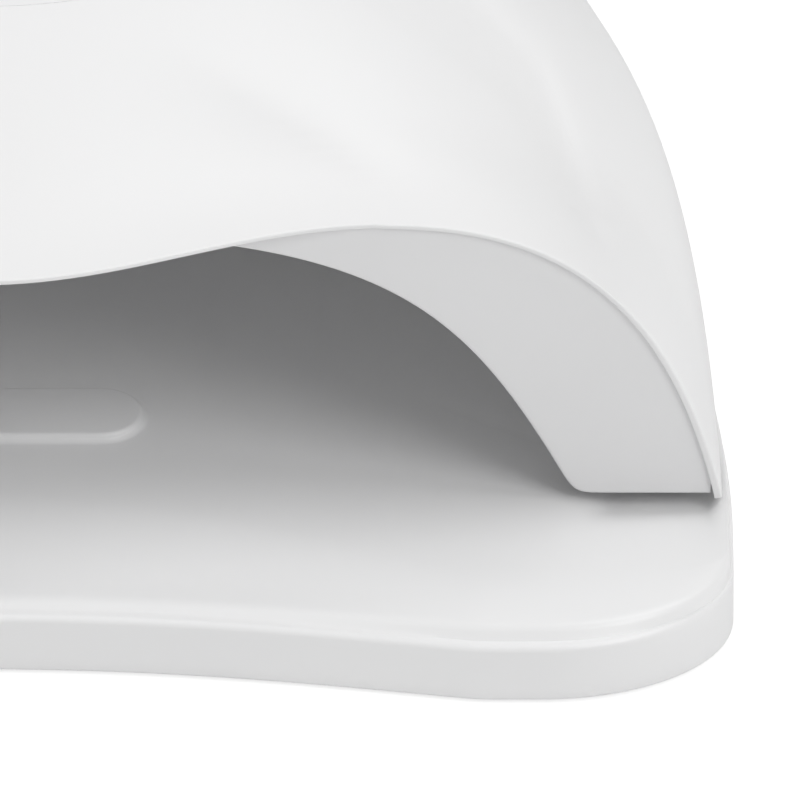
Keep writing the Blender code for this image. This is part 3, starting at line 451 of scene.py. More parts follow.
body = {
    "width": 0.225,
    "depth": 0.200,
    "widestFromFront": 0.032,
    "cornerWidth": 0.029,
    "cornerDepth": 0.022,
    "dipDepth": 0.0084,
    "dipHalfWidth": 0.075,
    "dipPower": 1.2,
    "sideStep": 0.0008,
    "plateau": 0.0132,
    "clearance": 0.0003,
    "edgeLift": 0.0006,
    "lipFromFront": 0.0355,
    "bezelRecess": 0.0008,
    "bowlSpace": 0.0175,
}
frontY = -body["depth"] / 2
widestY = frontY + body["widestFromFront"]
lipY = frontY + body["lipFromFront"]
bezelY = lipY + body["bezelRecess"]
edgeZ = body["plateau"] + body["clearance"] + body["edgeLift"]
outlineHalf = body["width"] / 2 - body["sideStep"]
outlineDepth = body["depth"] - body["widestFromFront"] - body["sideStep"]


def dip(x):
    across = min(abs(x) / body["dipHalfWidth"], 1.0)
    return (1 - across**2) ** body["dipPower"]


def outlineWidth(inset, y):
    share = (y - widestY) / (outlineDepth - inset)
    return (outlineHalf - inset) * math.sqrt(1 - share**2)


# Tray: a loft of one outline through a table of steps, made by a node tree

tray = {
    "footLift": 0.0005,
    "footEdge": 0.0005,
    "rimHeight": 0.0099,
    "wall": 0.0024,
    "rimRoll": 0.0011,
    "ledge": 0.0012,
    "shoulderRun": 0.0127,
    "scoopRun": 0.0150,
    "scoopDepth": 0.0032,
    "coverTop": 0.0041,
    "cornerSteps": 30,
    "frontSteps": 44,
    "backSteps": 110,
    "sideSteps": 4,
    "edgeSteps": 4,
    "toeSteps": 5,
    "wallRows": 5,
    "rollSteps": 8,
    "capRings": 5,
    "merge": 0.000005,
    "capMiddle": 0.010,
    "capSplit": 0.002,
    "smoothAngle": 40.0,
}
seatGroove = {
    "depth": 0.0020,
    "reach": 0.0054,
    "power": 1.2,
    "low": (0.066, -0.0790),
    "high": (0.1112, -0.0490),
    "step": 0.0011,
    "rimFade": (0.0034, 0.0009),
    "backFade": (0.0050, 0.0005),
    "flatFace": 0.9,
    "faceBelow": 0.0003,
    "sameHeight": 0.00002,
}
shoulderShares = (
    (0.0, 0.0), (0.03, 0.13), (0.06, 0.33), (0.10, 0.50), (0.15, 0.60), (0.22, 0.665), (0.30, 0.72),
    (0.40, 0.78), (0.50, 0.84), (0.62, 0.90), (0.74, 0.945), (0.86, 0.978), (0.94, 0.993), (1.0, 1.0),
)


def trayOutline():
    # points of the outline with how far a side step and a front step move each of them
    width, depth = body["width"] / 2, body["depth"] - body["widestFromFront"]
    cornerX = width - body["cornerWidth"]
    half = []
    steps = tray["frontSteps"]
    for i in range(steps):
        x = cornerX * i / steps
        half.append((x, frontY + body["dipDepth"] * dip(x), 0.0, 1.0, 0.0, dip(x)))
    steps = tray["cornerSteps"]
    for i in range(steps):
        turn = math.pi / 2 * i / steps
        x = cornerX + body["cornerWidth"] * math.sin(turn)
        y = frontY + body["cornerDepth"] * (1 - math.cos(turn))
        half.append((x, y, math.sin(turn), math.cos(turn), 0.0, 0.0))
    for i in range(tray["sideSteps"]):
        share = i / tray["sideSteps"]
        y = (frontY + body["cornerDepth"]) * (1 - share) + widestY * share
        half.append((width, y, 1.0, 0.0, 0.0, 0.0))
    steps = tray["backSteps"]
    for i in range(steps + 1):
        turn = math.pi / 2 * i / steps
        x = width * math.cos(turn) if i < steps else 0.0
        half.append((x, widestY + depth * math.sin(turn), math.cos(turn), 0.0, math.sin(turn), 0.0))
    other = [(-x, y, -side, front, back, sag) for x, y, side, front, back, sag in half[-2:0:-1]]
    return half + other


def trayProfile():
    # rows of (side inset, front inset, height, scoop, sink), from inside the skirt to the floor
    step = body["sideStep"]
    low, rim, rise = tray["footLift"], tray["rimHeight"], body["plateau"] - tray["rimHeight"]
    wall, edge, roll = tray["wall"], tray["footEdge"], tray["rimRoll"]
    rows = [(wall, wall, height, 0.0, 0.0) for height in (tray["coverTop"] + body["clearance"], low + edge)]
    for turn in quarter(tray["edgeSteps"]):
        inset = wall - edge * math.sin(turn)
        rows.append((inset, inset, low + edge * (1 - math.sin(turn)) * 0.5, 0.0, 0.0))
    for turn in quarter(tray["toeSteps"]):
        inset = edge * (1 - math.sin(turn))
        rows.append((inset, inset, low + edge * (1 - math.cos(turn)), 0.0, 0.0))
    for i in range(1, tray["wallRows"]):
        height = low + edge + (rim - roll - low - edge) * i / tray["wallRows"]
        rows.append((0.0, 0.0, height, 0.0, 0.0))
    for turn in quarter(tray["rollSteps"]):
        sideIn = step / 4 * (1 - math.cos(turn))
        frontIn = roll * (1 - math.cos(turn))
        rows.append((sideIn, frontIn, rim - roll * (1 - math.sin(turn)), 0.0, 0.0))
    for run, up in shoulderShares:
        rows.append((
            step * (0.5 + run / 2),
            roll + tray["ledge"] * 0.5 + tray["shoulderRun"] * run,
            rim + rise * up,
            tray["scoopRun"] * run,
            tray["scoopDepth"] * 4 * run * (1 - run) ** 2,
        ))
    return rows


def railMesh(name, points, attributes, turns=()):
    # loose points that carry named values for a node tree to sample
    mesh = bpy.data.meshes.new(name)
    mesh.from_pydata(points, [], [])
    if turns:
        layer = mesh.attributes.new("turn", "FLOAT_VECTOR", "POINT")
        layer.data.foreach_set("vector", [value for turn in turns for value in turn])
    for key, values in attributes.items():
        layer = mesh.attributes.new(key, "FLOAT", "POINT")
        layer.data.foreach_set("value", values)
    rail = bpy.data.objects.new(name, mesh)
    scene.collection.objects.link(rail)
    return rail


class Tree(NodeWork):
    # a geometry node tree with the same wrapped sums as the materials
    def __init__(self, name, inputs):
        self.tree = bpy.data.node_groups.new(name, "GeometryNodeTree")
        self.ids = {}
        for label, kind, value in inputs:
            item = self.tree.interface.new_socket(label, in_out="INPUT", socket_type=kind)
            if value is not None:
                item.default_value = value
            self.ids[label] = item.identifier
        self.tree.interface.new_socket("Geometry", in_out="OUTPUT", socket_type="NodeSocketGeometry")
        self.entry = self.tree.nodes.new("NodeGroupInput")
        self.exit = self.tree.nodes.new("NodeGroupOutput")

    def input(self, label):
        return Wire(self, self.entry.outputs[label])

    def shapeOf(self, label):
        # the geometry of an object that an input names
        return self.add("GeometryNodeObjectInfo", None, {"Object": self.input(label)}, "Geometry")

    def end(self, geometry):
        self.tree.links.new(geometry.socket, self.exit.inputs[0])

    def run(self, name, values):
        # puts the tree on an object, reads the result back as a plain mesh
        holder = bpy.data.objects.new(name, bpy.data.meshes.new(name))
        scene.collection.objects.link(holder)
        change = holder.modifiers.new("grow", "NODES")
        change.node_group = self.tree
        for label, value in values.items():
            change[self.ids[label]] = value
        mesh = applyModifiers(holder)
        bpy.data.objects.remove(holder)
        return mesh


def instancesOn(tree):
    # the tree's piece on each of its places, turned as the place says
    turn = tree.add("GeometryNodeInputNamedAttribute", {"data_type": "FLOAT_VECTOR"}, {"Name": "turn"})
    turn = tree.add("FunctionNodeEulerToRotation", None, {"Euler": turn})
    grown = tree.add("GeometryNodeInstanceOnPoints", None, {
        "Points": tree.shapeOf("Places"), "Instance": tree.shapeOf("Piece"), "Rotation": turn,
        "Scale": tree.input("Scale"),
    })
    return tree.add("GeometryNodeRealizeInstances", None, {"Geometry": grown})


def repeatTree(name, cut):
    # repeats a piece on places, or cuts those copies out of a base
    inputs = [
        ("Piece", "NodeSocketObject", None),
        ("Places", "NodeSocketObject", None),
        ("Scale", "NodeSocketFloat", 1.0),
        ("Finish", "NodeSocketMaterial", None),
    ]
    if cut:
        inputs.append(("Base", "NodeSocketObject", None))
    tree = Tree(name, inputs)
    made = instancesOn(tree)
    if cut:
        made = tree.add(
            "GeometryNodeMeshBoolean", {"operation": "DIFFERENCE", "solver": "EXACT"},
            {"Mesh 1": tree.shapeOf("Base"), "Mesh 2": made}, "Mesh",
        )
    sockets = {"Geometry": made, "Material": tree.input("Finish")}
    tree.end(tree.add("GeometryNodeSetMaterial", None, sockets))
    return tree


sowTree, cutTree = repeatTree("sowPieces", False), repeatTree("cutHoles", True)


def repeated(name, mesh, places, finish, base=None, smoothAngle=35.0):
    # one plain mesh of all copies of a mesh, or of a base mesh with the copies cut out
    holders = [bpy.data.objects.new(name + "Piece", mesh)]
    if base:
        holders.append(bpy.data.objects.new(name + "Base", base))
    for holder in holders:
        scene.collection.objects.link(holder)
    holders.append(railMesh(
        name + "Places", [place.translation for place in places], {},
        [place.to_euler() for place in places],
    ))
    values = {"Piece": holders[0], "Places": holders[-1], "Finish": finish.material}
    if base:
        values["Base"] = holders[1]
    made = (cutTree if base else sowTree).run(name, values)
    for holder in holders:
        bpy.data.objects.remove(holder)
    made.shade_smooth()
    made.set_sharp_from_angle(angle=math.radians(smoothAngle))
    return made


def prism(outline, low, high):
    # an upright solid over a closed outline of (x, y)
    rings = [[(x, y, z) for x, y in outline] for z in (low, high)]
    return meshFrom(tidy(loftRings(rings, caps=True)), "prism")


def lookAlong(direction, point):
    # a place whose Z runs along a direction
    return Matrix.Translation(point) @ direction.to_track_quat("Z", "Y").to_matrix().to_4x4()


outlineValues = ("sideShare", "frontShare", "backShare", "sag")
profileValues = ("side", "front", "height", "scoop", "sink")


def loftTree():
    tree = Tree("outlineLoft", (
        ("Outline", "NodeSocketObject", None),
        ("Profile", "NodeSocketObject", None),
        ("Outline Points", "NodeSocketInt", 8),
        ("Profile Rows", "NodeSocketInt", 4),
    ))
    outline, profile = tree.shapeOf("Outline"), tree.shapeOf("Profile")
    around, rows = tree.input("Outline Points"), tree.input("Profile Rows")
    grid = tree.add(
        "GeometryNodeMeshGrid", None,
        {"Size X": 1.0, "Size Y": 1.0, "Vertices X": around + 1, "Vertices Y": rows}, "Mesh",
    )
    index = tree.add("GeometryNodeInputIndex")
    along = tree.add("ShaderNodeMath", {"operation": "FLOOR"}, {0: (index + 0.5) / rows})
    up = index - along * rows
    along = along - around * (along > around - 0.5)

    def sample(geometry, at, key=None):
        # a named value of a rail's points, or else where they are
        kind = "FLOAT" if key else "FLOAT_VECTOR"
        if key:
            value = tree.add("GeometryNodeInputNamedAttribute", {"data_type": kind}, {"Name": key})
        else:
            value = tree.add("GeometryNodeInputPosition")
        sockets = {"Geometry": geometry, "Value": value, "Index": at}
        return tree.add("GeometryNodeSampleIndex", {"data_type": kind}, sockets)

    base = sample(outline, along)
    sideShare, frontShare, backShare, sag = (sample(outline, along, key) for key in outlineValues)
    side, front, height, scoop, sink = (sample(profile, up, key) for key in profileValues)
    move = tree.add("ShaderNodeCombineXYZ", None, {
        "X": 0 - side * sideShare,
        "Y": front * frontShare + scoop * sag - side * backShare,
        "Z": height - sink * sag,
    })
    place = tree.add("ShaderNodeVectorMath", {"operation": "ADD"}, {0: base, 1: move})
    skin = tree.add("GeometryNodeSetPosition", None, {"Geometry": grid, "Position": place})
    skin = tree.add("GeometryNodeMergeByDistance", None, {"Geometry": skin, "Distance": tray["merge"]})
    skin = tree.add("GeometryNodeSetShadeSmooth", None, {"Geometry": skin})
    skin = tree.add("GeometryNodeRealizeInstances", None, {"Geometry": skin})
    tree.end(tree.add("GeometryNodeSetMaterial", None, {"Geometry": skin, "Material": trayWhite.material}))
    return tree


def grooveDepth(x, y):
    # the floor dips softly towards the foot of the housing, in front of it and beside it
    rimFrom, rimTo = (outlineHalf - inset for inset in seatGroove["rimFade"])
    backFrom, backTo = seatGroove["backFade"]
    last = seatGroove["high"][1]
    if y > last or abs(x) < seatGroove["low"][0]:
        return 0.0
    ahead = max(bezelY - y, 0.0)
    beside = max(outlineWidth(body["bowlSpace"], max(y, lipY)) - abs(x), 0.0)
    away = (math.hypot(ahead, beside) / seatGroove["reach"]) ** seatGroove["power"]
    rim = 1 - smoothStep(abs(x), rimFrom, rimTo)
    back = 1 - smoothStep(y, bezelY + backFrom, last - backTo)
    return seatGroove["depth"] * math.exp(-away) * rim * back


def floorFaces(shape, side):
    # the flat floor round the front foot of a side
    lowX, lowY = seatGroove["low"]
    highX, highY = seatGroove["high"]
    faces = []
    for face in shape.faces:
        middle = face.calc_center_bounds()
        inside = lowX < side * middle.x < highX and lowY < middle.y < highY
        high = middle.z > body["plateau"] - seatGroove["faceBelow"]
        if inside and high and face.normal.z > seatGroove["flatFace"]:
            faces.append(face)
    return faces


def sinkGroove(shape):
    # a fine grid of cuts over each foot's floor, then the dip
    for side in (-1, 1):
        for k, axis in enumerate((Vector((1, 0, 0)), Vector((0, 1, 0)))):
            low, high = seatGroove["low"][k], seatGroove["high"][k]
            count = int((high - low) / seatGroove["step"])
            for i in range(count + 1):
                at = (low + (high - low) * i / count) * (side if axis.x else 1)
                faces = floorFaces(shape, side)
                edges = dict.fromkeys(edge for face in faces for edge in face.edges)
                verts = dict.fromkeys(vert for face in faces for vert in face.verts)
                parts = [*verts, *edges, *faces]
                bmesh.ops.bisect_plane(shape, geom=parts, plane_co=axis * at, plane_no=axis)
    for vert in shape.verts:
        if abs(vert.co.z - body["plateau"]) < seatGroove["sameHeight"]:
            vert.co.z -= grooveDepth(vert.co.x, vert.co.y)


def inOrder(shape):
    # the same mesh, its faces in a fixed order
    shape.verts.index_update()
    rings = []
    for face in shape.faces:
        ring = [vert.index for vert in face.verts]
        first = ring.index(min(ring))
        rings.append(ring[first:] + ring[:first])
    ordered = bmesh.new()
    verts = [ordered.verts.new(vert.co) for vert in shape.verts]
    for ring in sorted(rings):
        ordered.faces.new([verts[k] for k in ring])
    shape.free()
    return ordered


def buildTray():
    outline, profile = trayOutline(), trayProfile()
    outlineRail = railMesh("trayOutlineRail", [(row[0], row[1], 0.0) for row in outline], {
        key: [row[k] for row in outline]
        for k, key in enumerate(outlineValues, 2)
    })
    profileRail = railMesh("trayProfileRail", [(0.0, 0.0, 0.0) for _ in profile], {
        key: [row[k] for row in profile]
        for k, key in enumerate(profileValues)
    })
    mesh = loftTree().run("trayLoft", {
        "Outline": outlineRail, "Profile": profileRail,
        "Outline Points": len(outline), "Profile Rows": len(profile),
    })
    bpy.data.objects.remove(outlineRail)
    bpy.data.objects.remove(profileRail)

    # the floor inside the last row and the hidden ceiling inside the first
    shape = bmesh.new()
    shape.from_mesh(mesh)
    loops = {}
    for edge in shape.edges:
        if edge.is_boundary:
            isFloor = edge.verts[0].co.z > body["plateau"] - tray["capSplit"]
            loops.setdefault(isFloor, []).append(edge)
    for edges in loops.values():
        rim = dict.fromkeys(vert for edge in edges for vert in edge.verts)
        middle = Vector((0.0, tray["capMiddle"], sum(v.co.z for v in rim) / len(rim)))
        current = edges
        for k in range(tray["capRings"]):
            grown = bmesh.ops.extrude_edge_only(shape, edges=current)["geom"]
            moved = [item for item in grown if isinstance(item, bmesh.types.BMVert)]
            share = 1 - 1 / (tray["capRings"] - k + 1)
            for vert in moved:
                vert.co = middle.lerp(vert.co, share)
            current = [item for item in grown if isinstance(item, bmesh.types.BMEdge)]
        last = dict.fromkeys(vert for edge in current for vert in edge.verts)
        shape.faces.new(sorted(last, key=lambda vert: math.atan2(vert.co.y - middle.y, vert.co.x)))
    shape = inOrder(tidy(shape))
    sinkGroove(shape)
    mesh = meshFrom(tidy(shape), "trayBody", tray["smoothAngle"])
    piece = newPiece("trayBody", mesh, trayWhite, "base_tray")
    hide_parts("base_tray")


fingerRest = {
    "length": 0.0480,
    "depth": 0.0136,
    "end": 0.0064,
    "height": 0.0012,
    "fromFront": 0.0594,
    "skirt": 0.0010,
    "roll": 0.0007,
    "sunk": 0.0001,
    "filletShare": 0.45,
    "filletSteps": 6,
    "rollSteps": 7,
    "steps": 28,
    "smoothAngle": 50.0,
}


def stadiumRing(length, depth, end, z, y, steps):
    ring = []
    for side in (1, -1):
        for i in range(steps + 1):
            turn = -math.pi / 2 + math.pi * i / steps
            across = length / 2 - end + end * math.cos(turn)
            ring.append((side * across, y + side * depth / 2 * math.sin(turn), z))
    return ring


def buildFingerRest():
    # a low bar that runs out into the floor with a soft fillet all round
    size = fingerRest
    y = frontY + size["fromFront"]
    fillet = size["height"] * size["filletShare"]
    profile = [(size["skirt"], -size["sunk"])]
    for i in range(size["filletSteps"] + 1):
        t = i / size["filletSteps"]
        profile.append((size["skirt"] * (1 - t), fillet * t**2))
    for turn in quarter(size["rollSteps"]):
        up = fillet + (size["height"] - fillet) * math.sin(turn)
        profile.append((-size["roll"] * (1 - math.cos(turn)), up))
    rings = []
    for out, up in profile:
        rings.append(stadiumRing(
            size["length"] + 2 * out, size["depth"] + 2 * out, size["end"] + out, body["plateau"] + up, y,
            size["steps"],
        ))
    mesh = meshFrom(tidy(loftRings(rings, caps=True)), "fingerRest", size["smoothAngle"])
    newPiece("fingerRest", mesh, trayWhite, "base_tray")


buildTray()
buildFingerRest()
print("tray built")


# Housing shell: curves from an edge in space to the ring of the panel

shell = {
    "wall": 0.0020,
    "lipHeight": 0.0630,
    "visorReach": 0.0162,
    "visorHalf": 0.0611,
    "brimSlope": 13.0,
    "crownSlope": 16.0,
    "footFlare": 0.095,
    "valleyDepth": 0.0009,
    "valleyWidth": 0.55,
    "lipWall": 0.0008,
    "footWall": 0.0012,
    "thicken": 0.12,
    "lipRoll": 0.00035,
    "innerRoll": 0.00018,
    "seatRoll": 0.0004,
    "rollSteps": 6,
    "visorCells": 26,
    "archCells": 44,
    "outlineCells": 72,
    "rows": 56,
    "innerRows": 22,
    "innerTop": 0.93,
    "seatBlend": (13.6, 14.6),
    "wellRoll": 0.15,
    "smoothAngle": 42.0,
    "holeOut": 0.002,
}
fullness = {"brim": 1.0, "wall": 1.45, "crown": 1.35, "bowl": 1.1, "bowlCrown": 1.15}
archShares = ((0.0, 0.0), (0.13, 0.646), (0.42, 1.0), (1.0, 1.0))
valleyLine = ((0.0, 10.0), (0.25, 11.1), (0.45, 13.1), (0.6, 14.4), (0.75, 14.9), (1.0, 15.1))
visorEnd, archEnd, outlineEnd = 6.0, 14.0, 26.0    # counts along the shell's edge
cornerCells = 3.0

panel = {
    "fromFront": 0.0910,
    "height": 0.0870,
    "halfWidth": 0.0440,
    "halfDepth": 0.0280,
    "tilt": 8.0,
    "thickness": 0.0018,
    "ledge": 0.0030,
    "seam": 0.00012,
    "roll": 0.0002,
    "rollSteps": 5,
    "support": 0.0006,
    "sides": 160,
    "cut": (-0.0040, 0.0020),
    "smoothAngle": 30.0,
}
panelPlane = Matrix.Translation((0.0, frontY + panel["fromFront"], panel["height"]))
panelPlane = panelPlane @ Matrix.Rotation(math.radians(panel["tilt"]), 4, "X")


def shellArch():
    footX = outlineWidth(0.0, lipY)
    span = footX - shell["visorHalf"]
    rise = shell["lipHeight"] - edgeZ
    return [(footX - span * x, edgeZ + rise * z) for x, z in archShares][::-1]


def archStation(steer, share, y):
    step = 0.02
    here = bezierPoint(steer, share)
    along = bezierPoint(steer, share + step) - bezierPoint(steer, share - step)
    along = Vector((along.x, 0.0, along.y)).normalized()
    outward = Vector((-along.z, 0.0, along.x))
    return Vector((here.x, y, here.y)), along, outward


def visorY(x):
    share = min(abs(x) / shell["visorHalf"], 1.0)
    return lipY - shell["visorReach"] * (1 + math.cos(math.pi * share)) / 2


def archLeave(along, outward, share, flareTop, flareFoot):
    flare = flareTop + (flareFoot - flareTop) * share
    return (Vector((0.0, 1.0, 0.0)) + outward * flare - along * share).normalized()


def lipShift(count):
    # how much thinner than the wall the lip is there, taken from its outside
    if count <= archEnd:
        share = max(count - visorEnd, 0.0) / (archEnd - visorEnd)
        return shell["wall"] - shell["lipWall"] - (shell["footWall"] - shell["lipWall"]) * share**2
    return (shell["wall"] - shell["footWall"]) * (1 - smoothStep(count, archEnd, archEnd + cornerCells))


def shellStation(count):
    # start of the skin, the way it leaves, and how full it runs, at a count along the edge
    slope = math.radians(shell["brimSlope"])
    steer = shellArch()
    if count < visorEnd:
        x = shell["visorHalf"] * count / visorEnd
        leave = Vector((0.0, math.cos(slope), math.sin(slope)))
        over = Vector((0.0, -math.sin(slope), math.cos(slope)))
        start = Vector((x, visorY(x), shell["lipHeight"])) - over * lipShift(count)
        return start, leave, fullness["brim"]
    if count <= archEnd:
        share = (count - visorEnd) / (archEnd - visorEnd)
        point, along, outward = archStation(steer, share, lipY)
        leave = archLeave(along, outward, share, math.tan(slope), shell["footFlare"])
        full = fullness["brim"] + (fullness["wall"] - fullness["brim"]) * share
        return point - outward * lipShift(count), leave, full
    share = (count - archEnd) / (outlineEnd - archEnd)
    first = math.asin((lipY - widestY) / outlineDepth)
    turn = first + (math.pi / 2 - first) * share
    x = outlineHalf * math.cos(turn) if share < 1 else 0.0
    point = Vector((x, widestY + outlineDepth * math.sin(turn), edgeZ))
    outward = Vector((math.cos(turn) / outlineHalf, math.sin(turn) / outlineDepth, 0.0)).normalized()
    point -= outward * lipShift(count)
    _, along, outward = archStation(steer, 1.0, lipY)
    corner = archLeave(along, outward, 1.0, math.tan(slope), shell["footFlare"])
    leave = corner.lerp(upright, min((count - archEnd) / cornerCells, 1.0)).normalized()
    return point, leave, fullness["wall"]


class Dome:
    # a skin of curves over an edge, with its ring shared out by the edge's length
    cells, step, rise = 16, 0.06, 0.012

    def __init__(self, station, last, place, halfWidth, halfDepth, slope, crown):
        self.station, self.last, self.place = station, last, place
        self.halfWidth, self.halfDepth, self.slope, self.crown = halfWidth, halfDepth, slope, crown
        lengths = [0.0]
        points = [station(i / self.cells)[0] for i in range(int(last * self.cells) + 1)]
        for low, high in zip(points, points[1:]):
            lengths.append(lengths[-1] + (high - low).length)
        self.lengths = lengths

    def curve(self, count):
        start, leave, full = self.station(count)
        at = min(count, self.last) * self.cells
        low = min(int(at), len(self.lengths) - 2)
        length = self.lengths[low] + (self.lengths[low + 1] - self.lengths[low]) * (at - low)
        turn = math.pi * length / self.lengths[-1]
        x, y = self.halfWidth * math.sin(turn), -self.halfDepth * math.cos(turn)
        if start.x == 0.0:
            x = 0.0
        end = self.place @ Vector((x, y, 0.0))
        inward = Vector((-x / self.halfWidth**2, -y / self.halfDepth**2, 0.0)).normalized()
        arrive = inward * math.cos(self.slope) + upright * math.sin(self.slope)
        arrive = self.place.to_3x3() @ arrive
        chord = (end - start).length
        return start, leave * chord * full, end, arrive * chord * self.crown

    def point(self, count, share):
        mirror = count < 0 or count > self.last
        if count < 0:
            count = -count
        if count > self.last:
            count = 2 * self.last - count
        spot = hermite(*self.curve(count), share)
        if mirror:
            spot.x = -spot.x
        return spot

    def normal(self, count, share):
        along = self.point(count + self.step, share) - self.point(count - self.step, share)
        up = self.point(count, share + self.rise) - self.point(count, share - self.rise)
        return along.cross(up).normalized()


def valleyCount(share):
    for (low, first), (high, last) in zip(valleyLine, valleyLine[1:]):
        if share <= high:
            t = (share - low) / (high - low)
            return first + (last - first) * t
    return valleyLine[-1][1]


def shellCount(column, share):
    start, now = valleyLine[0][1], valleyCount(share)
    if column <= start:
        return column * now / start
    return now + (column - start) * (outlineEnd - now) / (outlineEnd - start)


def columnsOf(*stretches):
    # even counts over each stretch of (from, to, cells)
    out = []
    for low, high, cells in stretches:
        out += [low + (high - low) * i / cells for i in range(cells)]
    return out + [stretches[-1][1]]


def shellSkin(dome, column, share):
    # a point of the outer skin, with the soft valley pressed in, and the way out of it
    count = shellCount(column, max(share, 0.0))
    spot = dome.point(count, share)
    normal = dome.normal(count, share)
    across = (column - valleyLine[0][1]) / shell["valleyWidth"]
    depth = math.sin(math.pi * min(max(share, 0.0), 1.0)) ** 0.5
    return spot - normal * shell["valleyDepth"] * math.exp(-(across**2)) * depth, normal


def shellWall(column, share):
    thin = lipShift(shellCount(column, 0.0))
    return shell["wall"] - thin * (1 - smoothStep(share, 0.0, shell["thicken"]))


def shellProfile(dome, column):
    # one closed section of the shell: lip, outer skin, panel well, inner skin
    wall = shell["wall"]
    blend = smoothStep(column, *shell["seatBlend"])
    roll = shell["lipRoll"] + (shell["seatRoll"] - shell["lipRoll"]) * blend
    start, leave, _, _ = dome.curve(shellCount(column, 0.0))
    first = roll / leave.length
    base, normal = shellSkin(dome, column, first)
    ahead = (start - base).normalized()
    section = []
    for radius, side in ((shell["innerRoll"], -1), (roll, 1)):
        deep = radius if side > 0 else shellWall(column, first) - radius
        middle = start - ahead * radius - normal * deep
        corner = []
        for turn in quarter(shell["rollSteps"]):
            over = normal * side * radius * math.cos(turn)
            corner.append(middle + ahead * radius * math.sin(turn) + over)
        section += corner if side < 0 else corner[:0:-1]
    rows = shell["rows"]
    for i in range(rows + 1):
        section.append(shellSkin(dome, column, first + (1 - first) * i / rows)[0])

    # the well that holds the panel
    flat = panelPlane.inverted() @ section[-1]
    flat /= math.hypot(flat.x / panel["halfWidth"], flat.y / panel["halfDepth"]) or 1.0
    section[-1] = panelPlane @ flat
    drop = panel["thickness"] + body["clearance"]
    kept = 1 - panel["ledge"] / panel["halfWidth"]
    keptY = 1 - panel["ledge"] / panel["halfDepth"]
    grow, growY = 1 + wall / panel["halfWidth"], 1 + wall / panel["halfDepth"]
    for across, along, down in (
        (1.0, 1.0, drop * shell["wellRoll"]), (1.0, 1.0, drop), (kept, keptY, drop),
        (kept, keptY, drop + wall), (grow, growY, drop + wall),
    ):
        section.append(panelPlane @ Vector((flat.x * across, flat.y * along, -down)))
    for i in range(shell["innerRows"], -1, -1):
        share = first + (shell["innerTop"] - first) * i / shell["innerRows"]
        spot, side = shellSkin(dome, column, share)
        section.append(spot - side * shellWall(column, share))
    return section


def mirroredColumns(sections):
    # the other half, without the two sections on the middle plane
    other = [[Vector((-p.x, p.y, p.z)) for p in section] for section in sections[-2:0:-1]]
    for section in (sections[0], sections[-1]):
        for point in section:
            point.x = 0.0
    return sections + other


def shellColumns():
    return columnsOf(
        (0.0, visorEnd, shell["visorCells"]), (visorEnd, archEnd, shell["archCells"]),
        (archEnd, outlineEnd, shell["outlineCells"]),
    )


shellDome = Dome(
    shellStation, outlineEnd, panelPlane, panel["halfWidth"], panel["halfDepth"],
    math.radians(shell["crownSlope"]), fullness["crown"],
)

vents = {
    "width": 0.0022,
    "height": 0.0140,
    "middle": 0.0290,
    "offset": 0.0200,
    "pitch": 0.0060,
    "count": 5,
    "reach": 0.0560,
    "endSteps": 8,
}
inlet = {
    "height": 0.0270,
    "radius": 0.0046,
    "flange": 0.0016,
    "bore": 0.0028,
    "boreDepth": 0.0090,
    "pin": 0.0009,
    "pinTip": ((0.0, 0.12), (0.6, 0.10), (1.0, 0.16)),
    "boreEdge": 0.0004,
    "rimEdge": 0.0003,
    "flangeDepth": 0.0040,
    "holeDepth": 0.008,
    "sides": 48,
}


faceBack = Matrix.Rotation(-math.pi / 2, 4, "X")


def buildShell():
    sections = mirroredColumns([shellProfile(shellDome, column) for column in shellColumns()])
    mesh = meshFrom(tidy(loftRings(sections, wrap=True)), "upperShell", shell["smoothAngle"])

    # vents with round ends and the inlet's hole, cut through the back from behind
    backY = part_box("power_inlet")[1][1]
    straight = (vents["height"] - vents["width"]) / 2
    slot = []
    for side in (1, -1):
        for i in range(vents["endSteps"] + 1):
            turn = math.pi * i / vents["endSteps"]
            up = straight + vents["width"] / 2 * math.sin(turn)
            slot.append((side * vents["width"] / 2 * math.cos(turn), side * up))
    slotSolid = prism(slot, -vents["reach"], shell["holeOut"])
    places = []
    for side in (-1, 1):
        for i in range(vents["count"]):
            point = Vector((side * (vents["offset"] + vents["pitch"] * i), backY, vents["middle"]))
            places.append(Matrix.Translation(point) @ faceBack)
    mesh = repeated("upperShell", slotSolid, places, shellWhite, mesh, shell["smoothAngle"])
    ring = ringOf(inlet["radius"] + body["clearance"], inlet["sides"])
    hole = prism(ring, -inlet["holeDepth"], shell["holeOut"])
    place = Matrix.Translation((0.0, backY, inlet["height"])) @ faceBack
    mesh = repeated("upperShell", hole, [place], shellWhite, mesh, shell["smoothAngle"])
    piece = newPiece("upperShell", mesh, shellWhite, "lamp_housing")
    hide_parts("upper_shell")


buildShell()
print("shell built")


# Front bezel: the upright face round the hand opening, tucked behind the shell's lip

bezel = {
    "thickness": 0.0022,
    "gap": 0.00006,
    "openingHeight": 0.0460,
    "openingHalf": 0.0862,
    "openingCorner": 0.0048,
    "innerRoll": 0.0005,
    "outerRoll": 0.00012,
    "support": 0.0006,
    "archSteps": 72,
    "cornerSteps": 18,
    "rollSteps": 6,
    "halvings": 26,
    "smoothAngle": 40.0,
    "sharpest": 0.3,
}
openingShares = ((0.0, 1.0), (0.68, 1.0), (0.82, 0.72), (1.0, 0.0))


def openingSteer(offset=0.0):
    rise = bezel["openingHeight"] - bezel["openingCorner"]
    low = edgeZ + bezel["openingCorner"]
    width = bezel["openingHalf"] + offset
    return [(width * x, low + rise * z + offset * (z > 0)) for x, z in openingShares]


